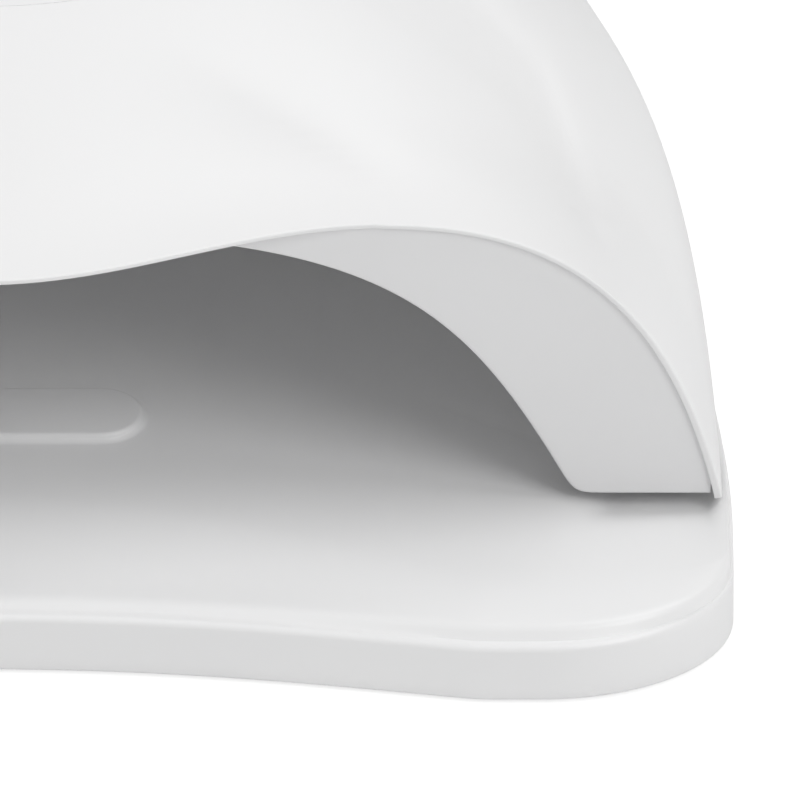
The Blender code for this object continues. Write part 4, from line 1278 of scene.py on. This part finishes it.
def openingCornerSteer(offset=0.0):
    # the arch runs straight on into the corner, which ends flat on the seat
    before, start = openingSteer(offset)[2:]
    slope = (start[0] - before[0]) / (before[1] - start[1])
    elbow = (start[0] + slope * (start[1] - edgeZ), edgeZ)
    return start, elbow, elbow, (outlineWidth(body["bowlSpace"], lipY) + offset, edgeZ)


def underLip(column, y):
    # where the shell's inner skin passes a depth
    low, high = -0.05, 0.5
    for _ in range(bezel["halvings"]):
        share = (low + high) / 2
        spot, normal = shellSkin(shellDome, column, share)
        spot -= normal * (shellWall(column, share) + bezel["gap"])
        if spot.y < y:
            low = share
        else:
            high = share
    return spot


def bezelOutline(y):
    # closed outline of (x, z, edge radius) at a depth
    half = []
    for column in shellColumns():
        if column <= archEnd:
            spot = underLip(column, y)
            if underLip(column, bezelY).z > edgeZ + bezel["innerRoll"]:
                half.append((spot.x, spot.z, bezel["outerRoll"]))
    half.append((half[-1][0], edgeZ, bezel["innerRoll"]))
    steps = bezel["cornerSteps"]
    inner = [bezierPoint(openingCornerSteer(), 1 - i / steps) for i in range(steps)]
    steps = bezel["archSteps"]
    inner += [bezierPoint(openingSteer(), 1 - i / steps) for i in range(steps + 1)]
    half += [(point.x, point.y, bezel["innerRoll"]) for point in inner]
    return half + [(-x, z, radius) for x, z, radius in half[-2:0:-1]]


def insetOutline(outline, share, more=0.0):
    # each point moved inwards by a share of its own radius
    points = [Vector((x, z)) for x, z, _ in outline]
    out = []
    for k, (x, z, radius) in enumerate(outline):
        before = (points[k] - points[k - 1]).normalized()
        after = (points[(k + 1) % len(points)] - points[k]).normalized()
        spread = max(1 + before.dot(after), bezel["sharpest"])
        side = Vector((before.y + after.y, -before.x - after.x)) / spread
        out.append(points[k] + side * (radius * share + more))
    return out


def buildBezel():
    front, back = bezelOutline(bezelY), bezelOutline(bezelY + bezel["thickness"])
    rings = [[(x, bezelY + bezel["thickness"], z) for x, z, _ in back]]
    for turn in quarter(bezel["rollSteps"]):
        inset = insetOutline(front, 1 - math.cos(turn))
        rings.append([
            (point.x, bezelY + radius * (1 - math.sin(turn)), point.y)
            for point, (_, _, radius) in zip(inset, front)
        ])
    inset = insetOutline(front, 1.0, bezel["support"])
    rings.append([(point.x, bezelY, point.y) for point in inset])
    shape = tidy(loftRings(rings, caps=True), fineMerge)
    mesh = meshFrom(shape, "frontBezel", bezel["smoothAngle"])
    piece = newPiece("frontBezel", mesh, bezelGreyAndShade, "lamp_housing")
    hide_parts("front_bezel")


buildBezel()
print("bezel built")


# Bowl: the white inner reflector, a second dome with a hole for each lamp bead

bowl = {
    "wall": 0.0014,
    "lip": 0.0008,
    "flare": 0.10,
    "ceilingHeight": 0.0655,
    "ceilingHalfWidth": 0.0400,
    "ceilingHalfDepth": 0.0300,
    "ceilingFromFront": 0.0880,
    "ceilingSlope": 12.0,
    "archCells": 40,
    "cornerCells": 12,
    "backCells": 54,
    "rows": 30,
    "ceilingRings": 6,
    "sensorWidth": 0.0166,
    "sensorDepth": 0.0076,
    "sensorCorner": 0.0008,
    "sensorCut": (-0.0020, 0.0030),
    "hidden": 0.0020,
    "halvings": 24,
    "smoothAngle": 40.0,
}
bowlArchEnd, bowlCornerEnd, bowlEnd = 8.0, 11.0, 23.0    # counts along the bowl's edge
bowlFront = bezelY + bezel["thickness"] + body["clearance"]
seatZ = body["plateau"] + body["clearance"]
ceilingMiddle = Vector((0.0, frontY + bowl["ceilingFromFront"], bowl["ceilingHeight"]))


def bowlStation(count):
    y = bowlFront - bowl["hidden"]
    steer = openingSteer(bowl["lip"])
    if count <= bowlArchEnd:
        share = count / bowlArchEnd
        point, along, outward = archStation(steer, share, y)
        return point, archLeave(along, outward, share, bowl["flare"], bowl["flare"] / 2), fullness["bowl"]
    _, along, outward = archStation(steer, 1.0, y)
    leave = archLeave(along, outward, 1.0, bowl["flare"], bowl["flare"] / 2)
    if count <= bowlCornerEnd:
        share = (count - bowlArchEnd) / (bowlCornerEnd - bowlArchEnd)
        spot = bezierPoint(openingCornerSteer(bowl["lip"]), share)
        sunk = (edgeZ - seatZ + bowl["hidden"]) * smoothStep(count, bowlCornerEnd - 1, bowlCornerEnd)
        return Vector((spot.x, y, spot.y - sunk)), leave, fullness["bowl"]
    inset = body["bowlSpace"] - bowl["lip"]
    first = math.asin((y - widestY) / (outlineDepth - inset))
    share = (count - bowlCornerEnd) / (bowlEnd - bowlCornerEnd)
    turn = first + (math.pi / 2 - first) * share
    x = (outlineHalf - inset) * math.cos(turn) if share < 1 else 0.0
    point = Vector((x, widestY + (outlineDepth - inset) * math.sin(turn), seatZ - bowl["hidden"]))
    leave = leave.lerp(upright, min((count - bowlCornerEnd) / cornerCells, 1.0)).normalized()
    return point, leave, fullness["bowl"]


bowlDome = Dome(
    bowlStation, bowlEnd, Matrix.Translation(ceilingMiddle), bowl["ceilingHalfWidth"],
    bowl["ceilingHalfDepth"], math.radians(bowl["ceilingSlope"]), fullness["bowlCrown"],
)


def bowlStart(count):
    # the share at which a curve has passed both the bezel's back and the seat
    low, high = 0.0, 0.5
    for _ in range(bowl["halvings"]):
        share = (low + high) / 2
        spot = hermite(*bowlDome.curve(count), share)
        if spot.y < bowlFront or spot.z < seatZ:
            low = share
        else:
            high = share
    return high


def bowlSection(count):
    # inner skin up to the ceiling's middle and the outer skin back down
    first = bowlStart(count)
    inner, outer = [], []
    for i in range(bowl["rows"] + 1):
        share = first + (1 - first) * i / bowl["rows"]
        spot = bowlDome.point(count, share)
        out = bowlDome.normal(count, share)
        if i == bowl["rows"]:
            out = upright
        behind = spot + out * bowl["wall"]
        behind.y, behind.z = max(behind.y, bowlFront), max(behind.z, seatZ)
        inner.append(spot)
        outer.append(behind)
    for k in range(1, bowl["ceilingRings"] + 1):
        share = k / bowl["ceilingRings"]
        spot = inner[bowl["rows"]].lerp(ceilingMiddle, share)
        inner.append(spot)
        outer.append(spot + upright * bowl["wall"])
    return inner + outer[::-1]


beads = {
    "radius": 0.0026,
    "proud": 0.0012,
    "hole": 0.0032,
    "perSide": 6,
    "lower": (1 / 6, 2 / 6),
    "upper": (3 / 6, 4 / 6),
    "ceiling": 8,
    "ceilingInset": 0.0108,
    "boardStart": 12.0,
    "boardGap": 0.0006,
    "board": 0.0010,
    "boardCells": 44,
    "boardRows": 5,
    "boardInset": (0.0060, 0.0030),
    "boardEdge": 0.0002,
    "boardSides": 96,
    "cut": (-0.0020, 0.0040),
    "seatGap": 0.0002,
    "socket": ((1.0, -0.0001), (0.94, -0.0003), (0.80, -0.0003), (0.76, 0.0), (0.0, 0.0)),
    "lensShare": 0.74,
    "lensSunk": 0.0001,
    "lensSteps": 8,
    "sides": 32,
}


def beadPlaces(band):
    places = []
    share = sum(band) / 2
    for k in range(beads["perSide"]):
        count = beads["boardStart"] + (bowlEnd - beads["boardStart"]) * (k + 0.5) / beads["perSide"]
        spot, out = bowlDome.point(count, share), bowlDome.normal(count, share)
        for side in (-1, 1):
            flip = Vector((side, 1.0, 1.0))
            places.append(lookAlong(out * flip, spot * flip))
    return places


def ceilingPlaces():
    across = bowl["ceilingHalfWidth"] - beads["ceilingInset"]
    along = bowl["ceilingHalfDepth"] - beads["ceilingInset"]
    places = []
    for i in range(beads["ceiling"]):
        turn = math.tau * (i + 0.5) / beads["ceiling"]
        away = Vector((across * math.cos(turn), along * math.sin(turn), 0.0))
        places.append(Matrix.Translation(ceilingMiddle + away))
    return places


def allBeadPlaces():
    return beadPlaces(beads["lower"]) + beadPlaces(beads["upper"]) + ceilingPlaces()


def buildBowl():
    columns = columnsOf(
        (0.0, bowlArchEnd, bowl["archCells"]), (bowlArchEnd, bowlCornerEnd, bowl["cornerCells"]),
        (bowlCornerEnd, bowlEnd, bowl["backCells"]),
    )
    name, angle = "innerReflector", bowl["smoothAngle"]
    sections = mirroredColumns([bowlSection(count) for count in columns])
    mesh = meshFrom(tidy(loftRings(sections, wrap=True)), name, angle)
    hole = prism(ringOf(beads["hole"]), *beads["cut"])
    mesh = repeated(name, hole, allBeadPlaces(), bowlWhite, mesh, angle)
    window = roundedBox(bowl["sensorWidth"], bowl["sensorDepth"], bowl["sensorCorner"])
    window = prism(window, *bowl["sensorCut"])
    mesh = repeated(name, window, [Matrix.Translation(ceilingMiddle)], bowlWhite, mesh, angle)
    piece = newPiece(name, mesh, bowlWhite, "lamp_housing")
    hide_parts("inner_reflector")


def buildStrip(name, node, band, gap):
    # a curved board behind the bowl, open in front, round its back in one piece
    half = []
    for k in range(beads["boardCells"] + 1):
        count = beads["boardStart"] + (bowlEnd - beads["boardStart"]) * k / beads["boardCells"]
        near, far = [], []
        for i in range(beads["boardRows"] + 1):
            share = band[0] + (band[1] - band[0]) * i / beads["boardRows"]
            spot, out = bowlDome.point(count, share), bowlDome.normal(count, share)
            near.append(spot + out * gap)
            far.append(spot + out * (gap + beads["board"]))
        half.append(near + far[::-1])
    for point in half[-1]:
        point.x = 0.0
    other = [[Vector((-p.x, p.y, p.z)) for p in section] for section in half[-2::-1]]
    mesh = meshFrom(tidy(loftRings(half + other, caps=True)), name, bowl["smoothAngle"])
    piece = newPiece(name, mesh, whiteBoard, "lamp_housing")
    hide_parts(node)


def buildBeads():
    gap = bowl["wall"] + beads["boardGap"]
    buildStrip("beadStripLower", "led_strip_lower", beads["lower"], gap)
    buildStrip("beadStripUpper", "led_strip_upper", beads["upper"], gap)
    low = bowl["ceilingHeight"] + gap
    across = bowl["ceilingHalfWidth"] - beads["boardInset"][0]
    along = bowl["ceilingHalfDepth"] - beads["boardInset"][1]
    edge, board = beads["boardEdge"], beads["board"]
    rings = []
    for inset, up in ((edge, 0.0), (0.0, edge), (0.0, board - edge), (edge, board)):
        ring = ringOf(across - inset, beads["boardSides"], along - inset)
        rings.append([(x, y + ceilingMiddle.y, low + up) for x, y in ring])
    mesh = meshFrom(tidy(loftRings(rings, caps=True)), "beadBoardCeiling", 30.0)
    piece = newPiece("beadBoardCeiling", mesh, whiteBoard, "lamp_housing")
    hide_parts("led_board_ceiling")

    # each bead is a white socket with a clear dome over its chip
    places = allBeadPlaces()
    radius, seat, sunk = beads["radius"], gap + beads["seatGap"], beads["lensSunk"]
    socket = [(0.0, seat), (radius, seat)] + [(radius * share, up) for share, up in beads["socket"]]
    mesh = repeated("beadSockets", latheMesh(socket, "beadSocket", beads["sides"]), places, whiteBoard)
    newPiece("beadSockets", mesh, whiteBoard, "lamp_housing")
    dome = [(0.0, -sunk)]
    for turn in quarter(beads["lensSteps"]):
        out = radius * beads["lensShare"] * math.cos(turn)
        dome.append((out, -sunk - (beads["proud"] - sunk) * math.sin(turn)))
    lens = latheMesh(dome, "beadLens", beads["sides"])
    mesh = repeated("beadLenses", lens, places, lensAmber, smoothAngle=60.0)
    newPiece("beadLenses", mesh, lensAmber, "lamp_housing")


buildBowl()
buildBeads()
print("bowl and beads built")


# Panel, keys and display, in the panel's own plane

keys = {
    "radius": 0.0056,
    "proud": 0.0010,
    "pitch": 0.0180,
    "row": -0.0090,
    "flange": 0.0012,
    "flangeHeight": 0.0008,
    "stem": 0.0016,
    "stemBottom": -0.0051,
    "domePower": 0.4,
    "textSize": 0.0050,
    "textThickness": 0.00004,
    "textMerge": 0.000001,
    "domeSteps": 16,
    "sides": 72,
    "holeSides": 64,
}
display = {
    "width": 0.0280,
    "depth": 0.0125,
    "row": 0.0090,
    "digitHeight": 0.0078,
    "digitWidth": 0.0040,
    "digitPitch": 0.0062,
    "bar": 0.0007,
    "slant": 0.10,
    "clearance": 0.0003,
    "corner": 0.0004,
    "barGap": 0.0003,
    "barLow": -0.00002,
    "barHigh": 0.00003,
}
keyNames = ("10", "30", "60", "99")


def keyOnPanel(index):
    return Matrix.Translation((keys["pitch"] * (index - (len(keyNames) - 1) / 2), keys["row"], 0.0))


def keyDome(share):
    return keys["proud"] * max(1 - share**2, 0.0) ** keys["domePower"]


def buildPanel():
    # a plate with a rounded edge that lies in the shell's well
    name, angle, roll = "topPanel", panel["smoothAngle"], panel["roll"]
    steps = [(0.0, -panel["thickness"])]
    for turn in quarter(panel["rollSteps"]):
        steps.append((roll * (1 - math.cos(turn)), -roll * (1 - math.sin(turn))))
    steps.append((roll + panel["support"], 0.0))
    rings = []
    for inset, z in steps:
        across, along = (panel[key] - panel["seam"] - inset for key in ("halfWidth", "halfDepth"))
        rings.append([(x, y, z) for x, y in ringOf(across, panel["sides"], along)])
    mesh = meshFrom(tidy(loftRings(rings, caps=True), fineMerge), name, angle)
    hole = prism(ringOf(keys["radius"] + body["clearance"], keys["holeSides"]), *panel["cut"])
    places = [keyOnPanel(index) for index in range(len(keyNames))]
    mesh = repeated(name, hole, places, panelWhite, mesh, angle)
    wide, deep = (display[key] + 2 * display["clearance"] for key in ("width", "depth"))
    window = prism(roundedBox(wide, deep, display["corner"]), *panel["cut"])
    place = Matrix.Translation((0.0, display["row"], 0.0))
    mesh = repeated(name, window, [place], panelWhite, mesh, angle)
    mesh.transform(panelPlane)
    piece = newPiece(name, mesh, panelWhite, "lamp_housing")
    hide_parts("top_panel")


def buildPrint(name, place):
    # the printed seconds follow the key's dome
    text = bpy.data.curves.new("print" + name, "FONT")
    text.body = name
    text.size = keys["textSize"]
    text.align_x = "CENTER"
    text.align_y = "CENTER"
    text.extrude = keys["textThickness"] / 2
    holder = bpy.data.objects.new("print" + name, text)
    scene.collection.objects.link(holder)
    bpy.context.view_layer.update()
    graph = bpy.context.evaluated_depsgraph_get()
    mesh = bpy.data.meshes.new_from_object(holder.evaluated_get(graph))
    bpy.data.objects.remove(holder)
    for vert in mesh.vertices:
        share = math.hypot(vert.co.x, vert.co.y) / keys["radius"]
        vert.co.z += keyDome(share) + keys["textThickness"] / 2
    mesh.transform(place)
    shape = bmesh.new()
    shape.from_mesh(mesh)
    mesh = meshFrom(tidy(shape, keys["textMerge"]), "print" + name, panel["smoothAngle"])
    newPiece("print" + name, mesh, printGrey, "key_" + name)


def buildKeys():
    under = -panel["thickness"] - body["clearance"]
    low, foot = under - keys["flangeHeight"], keys["stemBottom"]
    reach, flange, stem = keys["radius"], keys["radius"] + keys["flange"], keys["stem"]
    domeShares = [math.sin(turn) for turn in quarter(keys["domeSteps"])]
    profile = [(reach * share, keyDome(share)) for share in domeShares]
    profile += [(reach, under), (flange, under), (flange, low), (stem, low), (stem, foot), (0.0, foot)]
    for index, name in enumerate(keyNames):
        place = panelPlane @ keyOnPanel(index)
        mesh = latheMesh(profile, "key" + name, keys["sides"], place)
        piece = newPiece("key" + name, mesh, keySilver, "key_" + name)
        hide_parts("key_" + name)
        buildPrint(name, place)


def segmentPlaces():
    # seven bars for each of two digits: three lying and four standing
    tall, wide = display["digitHeight"] / 2, display["digitWidth"]
    bars = ((0, 1, True), (0, 0, True), (0, -1, True))
    bars += tuple((x, y, False) for y in (0.5, -0.5) for x in (-1, 1))
    places = []
    for side in (-1, 1):
        for x, y, flat in bars:
            across = side * display["digitPitch"] / 2 + x * wide / 2 + y * tall * display["slant"]
            spot = Vector((across, display["row"] + y * tall, 0.0))
            turn = 0.0 if flat else math.pi / 2 - display["slant"]
            places.append(panelPlane @ Matrix.Translation(spot) @ Matrix.Rotation(turn, 4, "Z"))
    return places


def buildDisplay():
    # unlit bars that show faintly in the window
    half, bar = display["digitWidth"] / 2 - display["barGap"], display["bar"] / 2
    outline = [(half, 0.0), (half - bar, bar), (bar - half, bar)]
    outline += [(-x, -y) for x, y in outline]
    solid = prism(outline, display["barLow"], display["barHigh"])
    mesh = repeated("displayBars", solid, segmentPlaces(), barGrey)
    newPiece("displayBars", mesh, barGrey, "lamp_housing")


buildPanel()
buildKeys()
buildDisplay()
print("panel and keys built")


# Small parts: feet, magnets, screws, inlet

screws = {
    "head": 0.0011,
    "headRadius": 0.0026,
    "shank": 0.0013,
    "core": 0.0010,
    "length": 0.0090,
    "pitch": 0.0007,
    "crossWidth": 0.00055,
    "crossReach": 0.0014,
    "crossDepth": 0.0006,
    "crossOut": 0.0010,
    "flatShare": 0.6,
    "headSteps": 6,
    "underHead": 0.0004,
    "plain": 0.0016,
    "tip": 0.0011,
    "sides": 24,
}
magnets = {
    "trayHeight": 0.0030,
    "housingHeight": 0.0027,
    "radius": 0.0040,
    "edge": 0.0003,
    "sides": 40,
}
feet = {
    "height": 0.0018,
    "radius": 0.0070,
    "edge": 0.0005,
    "edgeSteps": 5,
    "groove": 0.0002,
    "rings": ((0.0, 1), (0.0020, 1), (0.0023, 0), (0.0040, 0), (0.0043, 1), (0.0050, 1), (0.0053, 0)),
}
corners = ("front_left", "front_right", "back_left", "back_right")


def cornerPlaces(kind):
    places = []
    for corner in corners:
        low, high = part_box(f"{kind}_{corner}")
        places.append(Matrix.Translation(((low[0] + high[0]) / 2, (low[1] + high[1]) / 2, low[2])))
    return places


def screwMesh():
    # a pan head that points down, with a cross in it, and a threaded shank above
    head, reach, flat = screws["head"], screws["headRadius"], screws["flatShare"]
    core, shank, pitch = screws["core"], screws["shank"], screws["pitch"]
    profile = [(0.0, 0.0), (reach * flat, 0.0)]
    for turn in quarter(screws["headSteps"])[1:]:
        out = reach * (flat + (1 - flat) * math.sin(turn))
        profile.append((out, head * flat * (1 - math.cos(turn))))
    profile += [(reach, head), (shank, head)]
    for i in range(int((screws["length"] - screws["plain"]) / pitch)):
        low = head + screws["underHead"] + pitch * i
        profile += [(core, low), (shank, low + pitch / 2)]
    top = head + screws["length"]
    profile += [(core, top - screws["tip"]), (shank / 2, top), (0.0, top)]
    mesh = latheMesh(profile, "screw", screws["sides"])
    thin, far = screws["crossWidth"] / 2, screws["crossReach"]
    cross = [(far, -thin), (far, thin), (thin, thin), (thin, far), (-thin, far), (-thin, thin)]
    cross += [(-x, -y) for x, y in cross]
    cross = prism(cross, -screws["crossOut"], screws["crossDepth"])
    return repeated("screw", cross, [Matrix.Identity(4)], screwSteel, mesh, 30.0)


def magnetMesh(height):
    radius, edge = magnets["radius"], magnets["edge"]
    profile = [(0.0, 0.0), (radius - edge, 0.0), (radius, edge)]
    profile += [(out, height - up) for out, up in profile[::-1]]
    return latheMesh(profile, "magnet", magnets["sides"])


def footMesh():
    # a rubber pad with a soft edge and two shallow rings underneath
    height, radius, edge = feet["height"], feet["radius"], feet["edge"]
    profile = [(out, feet["groove"] * up) for out, up in feet["rings"]]
    for turn in quarter(feet["edgeSteps"]):
        profile.append((radius - edge * (1 - math.sin(turn)), edge * (1 - math.cos(turn))))
    profile += [(radius, height), (0.0, height)]
    return latheMesh(profile, "foot", 48)


def buildSmallParts():
    trayMagnet, housingMagnet = magnetMesh(magnets["trayHeight"]), magnetMesh(magnets["housingHeight"])
    for name, kind, source, finish, owner, slot in (
        ("trayFeet", "tray_foot", footMesh(), rubberGrey, "base_tray", "rubber"),
        ("trayMagnets", "tray_magnet", trayMagnet, magnetNickel, "base_tray", "nickel"),
        ("housingMagnets", "housing_magnet", housingMagnet, magnetNickel, "lamp_housing", "nickel"),
        ("trayScrews", "tray_screw", screwMesh(), screwSteel, "base_tray", "steel"),
        ("housingScrews", "housing_screw", screwMesh(), screwSteel, "lamp_housing", "steel"),
    ):
        mesh = repeated(name, source, cornerPlaces(kind), finish, smoothAngle=40.0)
        piece = newPiece(name, mesh, finish, owner)
        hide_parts(*(f"{kind}_{corner}" for corner in corners))


def buildInlet():
    low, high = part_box("power_inlet")
    length = high[1] - low[1]
    rim, back = inlet["radius"], inlet["radius"] + inlet["flange"]
    pin, bore, depth = inlet["pin"], inlet["bore"], inlet["boreDepth"]
    profile = [(pin * out, -depth * down) for out, down in inlet["pinTip"]]
    profile += [
        (pin, -depth), (bore, -depth), (bore, -inlet["boreEdge"]), (bore + inlet["boreEdge"], 0.0),
        (rim - inlet["rimEdge"], 0.0), (rim, -inlet["rimEdge"]), (rim, -inlet["flangeDepth"]),
        (back, -inlet["flangeDepth"]), (back, -length), (0.0, -length),
    ]
    place = Matrix.Translation((0.0, high[1], inlet["height"])) @ faceBack
    mesh = latheMesh(profile, "powerInlet", inlet["sides"], place)
    piece = newPiece("powerInlet", mesh, blackPlastic, "lamp_housing")
    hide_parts("power_inlet")


buildSmallParts()
buildInlet()
print("small parts built")


# Everything of the frame that still shows as it is gets its finish

slotFinish = {
    "white_gloss": shellWhite,
    "white_satin": frameWhite,
    "reflector_white": bowlWhite,
    "panel_white": panelWhite,
    "key_silver": keySilver,
    "rubber": rubberGrey,
    "steel": screwSteel,
    "nickel": magnetNickel,
    "green_board": greenBoard,
    "white_board": whiteBoard,
    "black_plastic": blackPlastic,
    "smoked_window": windowSmoke,
}
for part in frame["record"]["subparts"]:
    node = frame["nodes"][part["node"]]
    node.data.materials.clear()
    node.data.materials.append(slotFinish[part["material_slot"]].material)


# Studio

addCamera(photoView)
for name, (turn, height, power) in lamps.items():
    addLamp(name, turn, height, power)


def buildFloor():
    # pale paper that partly glows, so that it stays white round the object's shadow
    shape = bmesh.new()
    half = studio["floorHalf"]
    ends = ((-half, -half), (half, -half), (half, half), (-half, half))
    shape.faces.new([shape.verts.new((x, y, 0.0)) for x, y in ends])
    mesh = bpy.data.meshes.new("studioFloor")
    shape.to_mesh(mesh)
    shape.free()
    sheet = bpy.data.objects.new("studioFloor", mesh)
    scene.collection.objects.link(sheet)
    paper = Finish("floorPaper")
    grain = paper.noise(studio["floorGrain"], 3.0)
    paper.set(
        Base_Color=paper.mixColour(grain, studio["floorShade"], studio["floorColour"]),
        Roughness=studio["floorRoughness"],
    )
    seen = paper.add("ShaderNodeLightPath", out="Is Camera Ray")
    emission = {"Color": (1.0, 1.0, 1.0, 1.0), "Strength": studio["glowLevel"]}
    glow = paper.add("ShaderNodeEmission", None, emission)
    lit = Wire(paper, paper.shader.outputs[0])
    blend = paper.add("ShaderNodeMixShader", None, {0: seen * studio["floorGlow"], 1: lit, 2: glow})
    paper.tree.links.new(blend.socket, paper.output.inputs["Surface"])
    mesh.materials.append(paper.material)


def buildWorld():
    # white where the camera looks past the object, a plain level of light elsewhere
    world = bpy.data.worlds.new("studioWorld")
    world.use_nodes = True
    scene.world = world
    nodes, links = world.node_tree.nodes, world.node_tree.links
    path = nodes.new("ShaderNodeLightPath")
    straight = nodes.new("ShaderNodeMath")
    straight.operation = "MAXIMUM"
    links.new(path.outputs["Is Camera Ray"], straight.inputs[0])
    links.new(path.outputs["Is Transmission Ray"], straight.inputs[1])
    level = nodes.new("ShaderNodeMapRange")
    links.new(straight.outputs[0], level.inputs["Value"])
    level.inputs["To Min"].default_value = studio["worldLevel"]
    level.inputs["To Max"].default_value = 1.0
    background = nodes["Background"]
    background.inputs["Color"].default_value = (1.0, 1.0, 1.0, 1.0)
    links.new(level.outputs["Result"], background.inputs["Strength"])


buildFloor()
buildWorld()
scene.view_settings.view_transform = "Standard"
print("studio set")
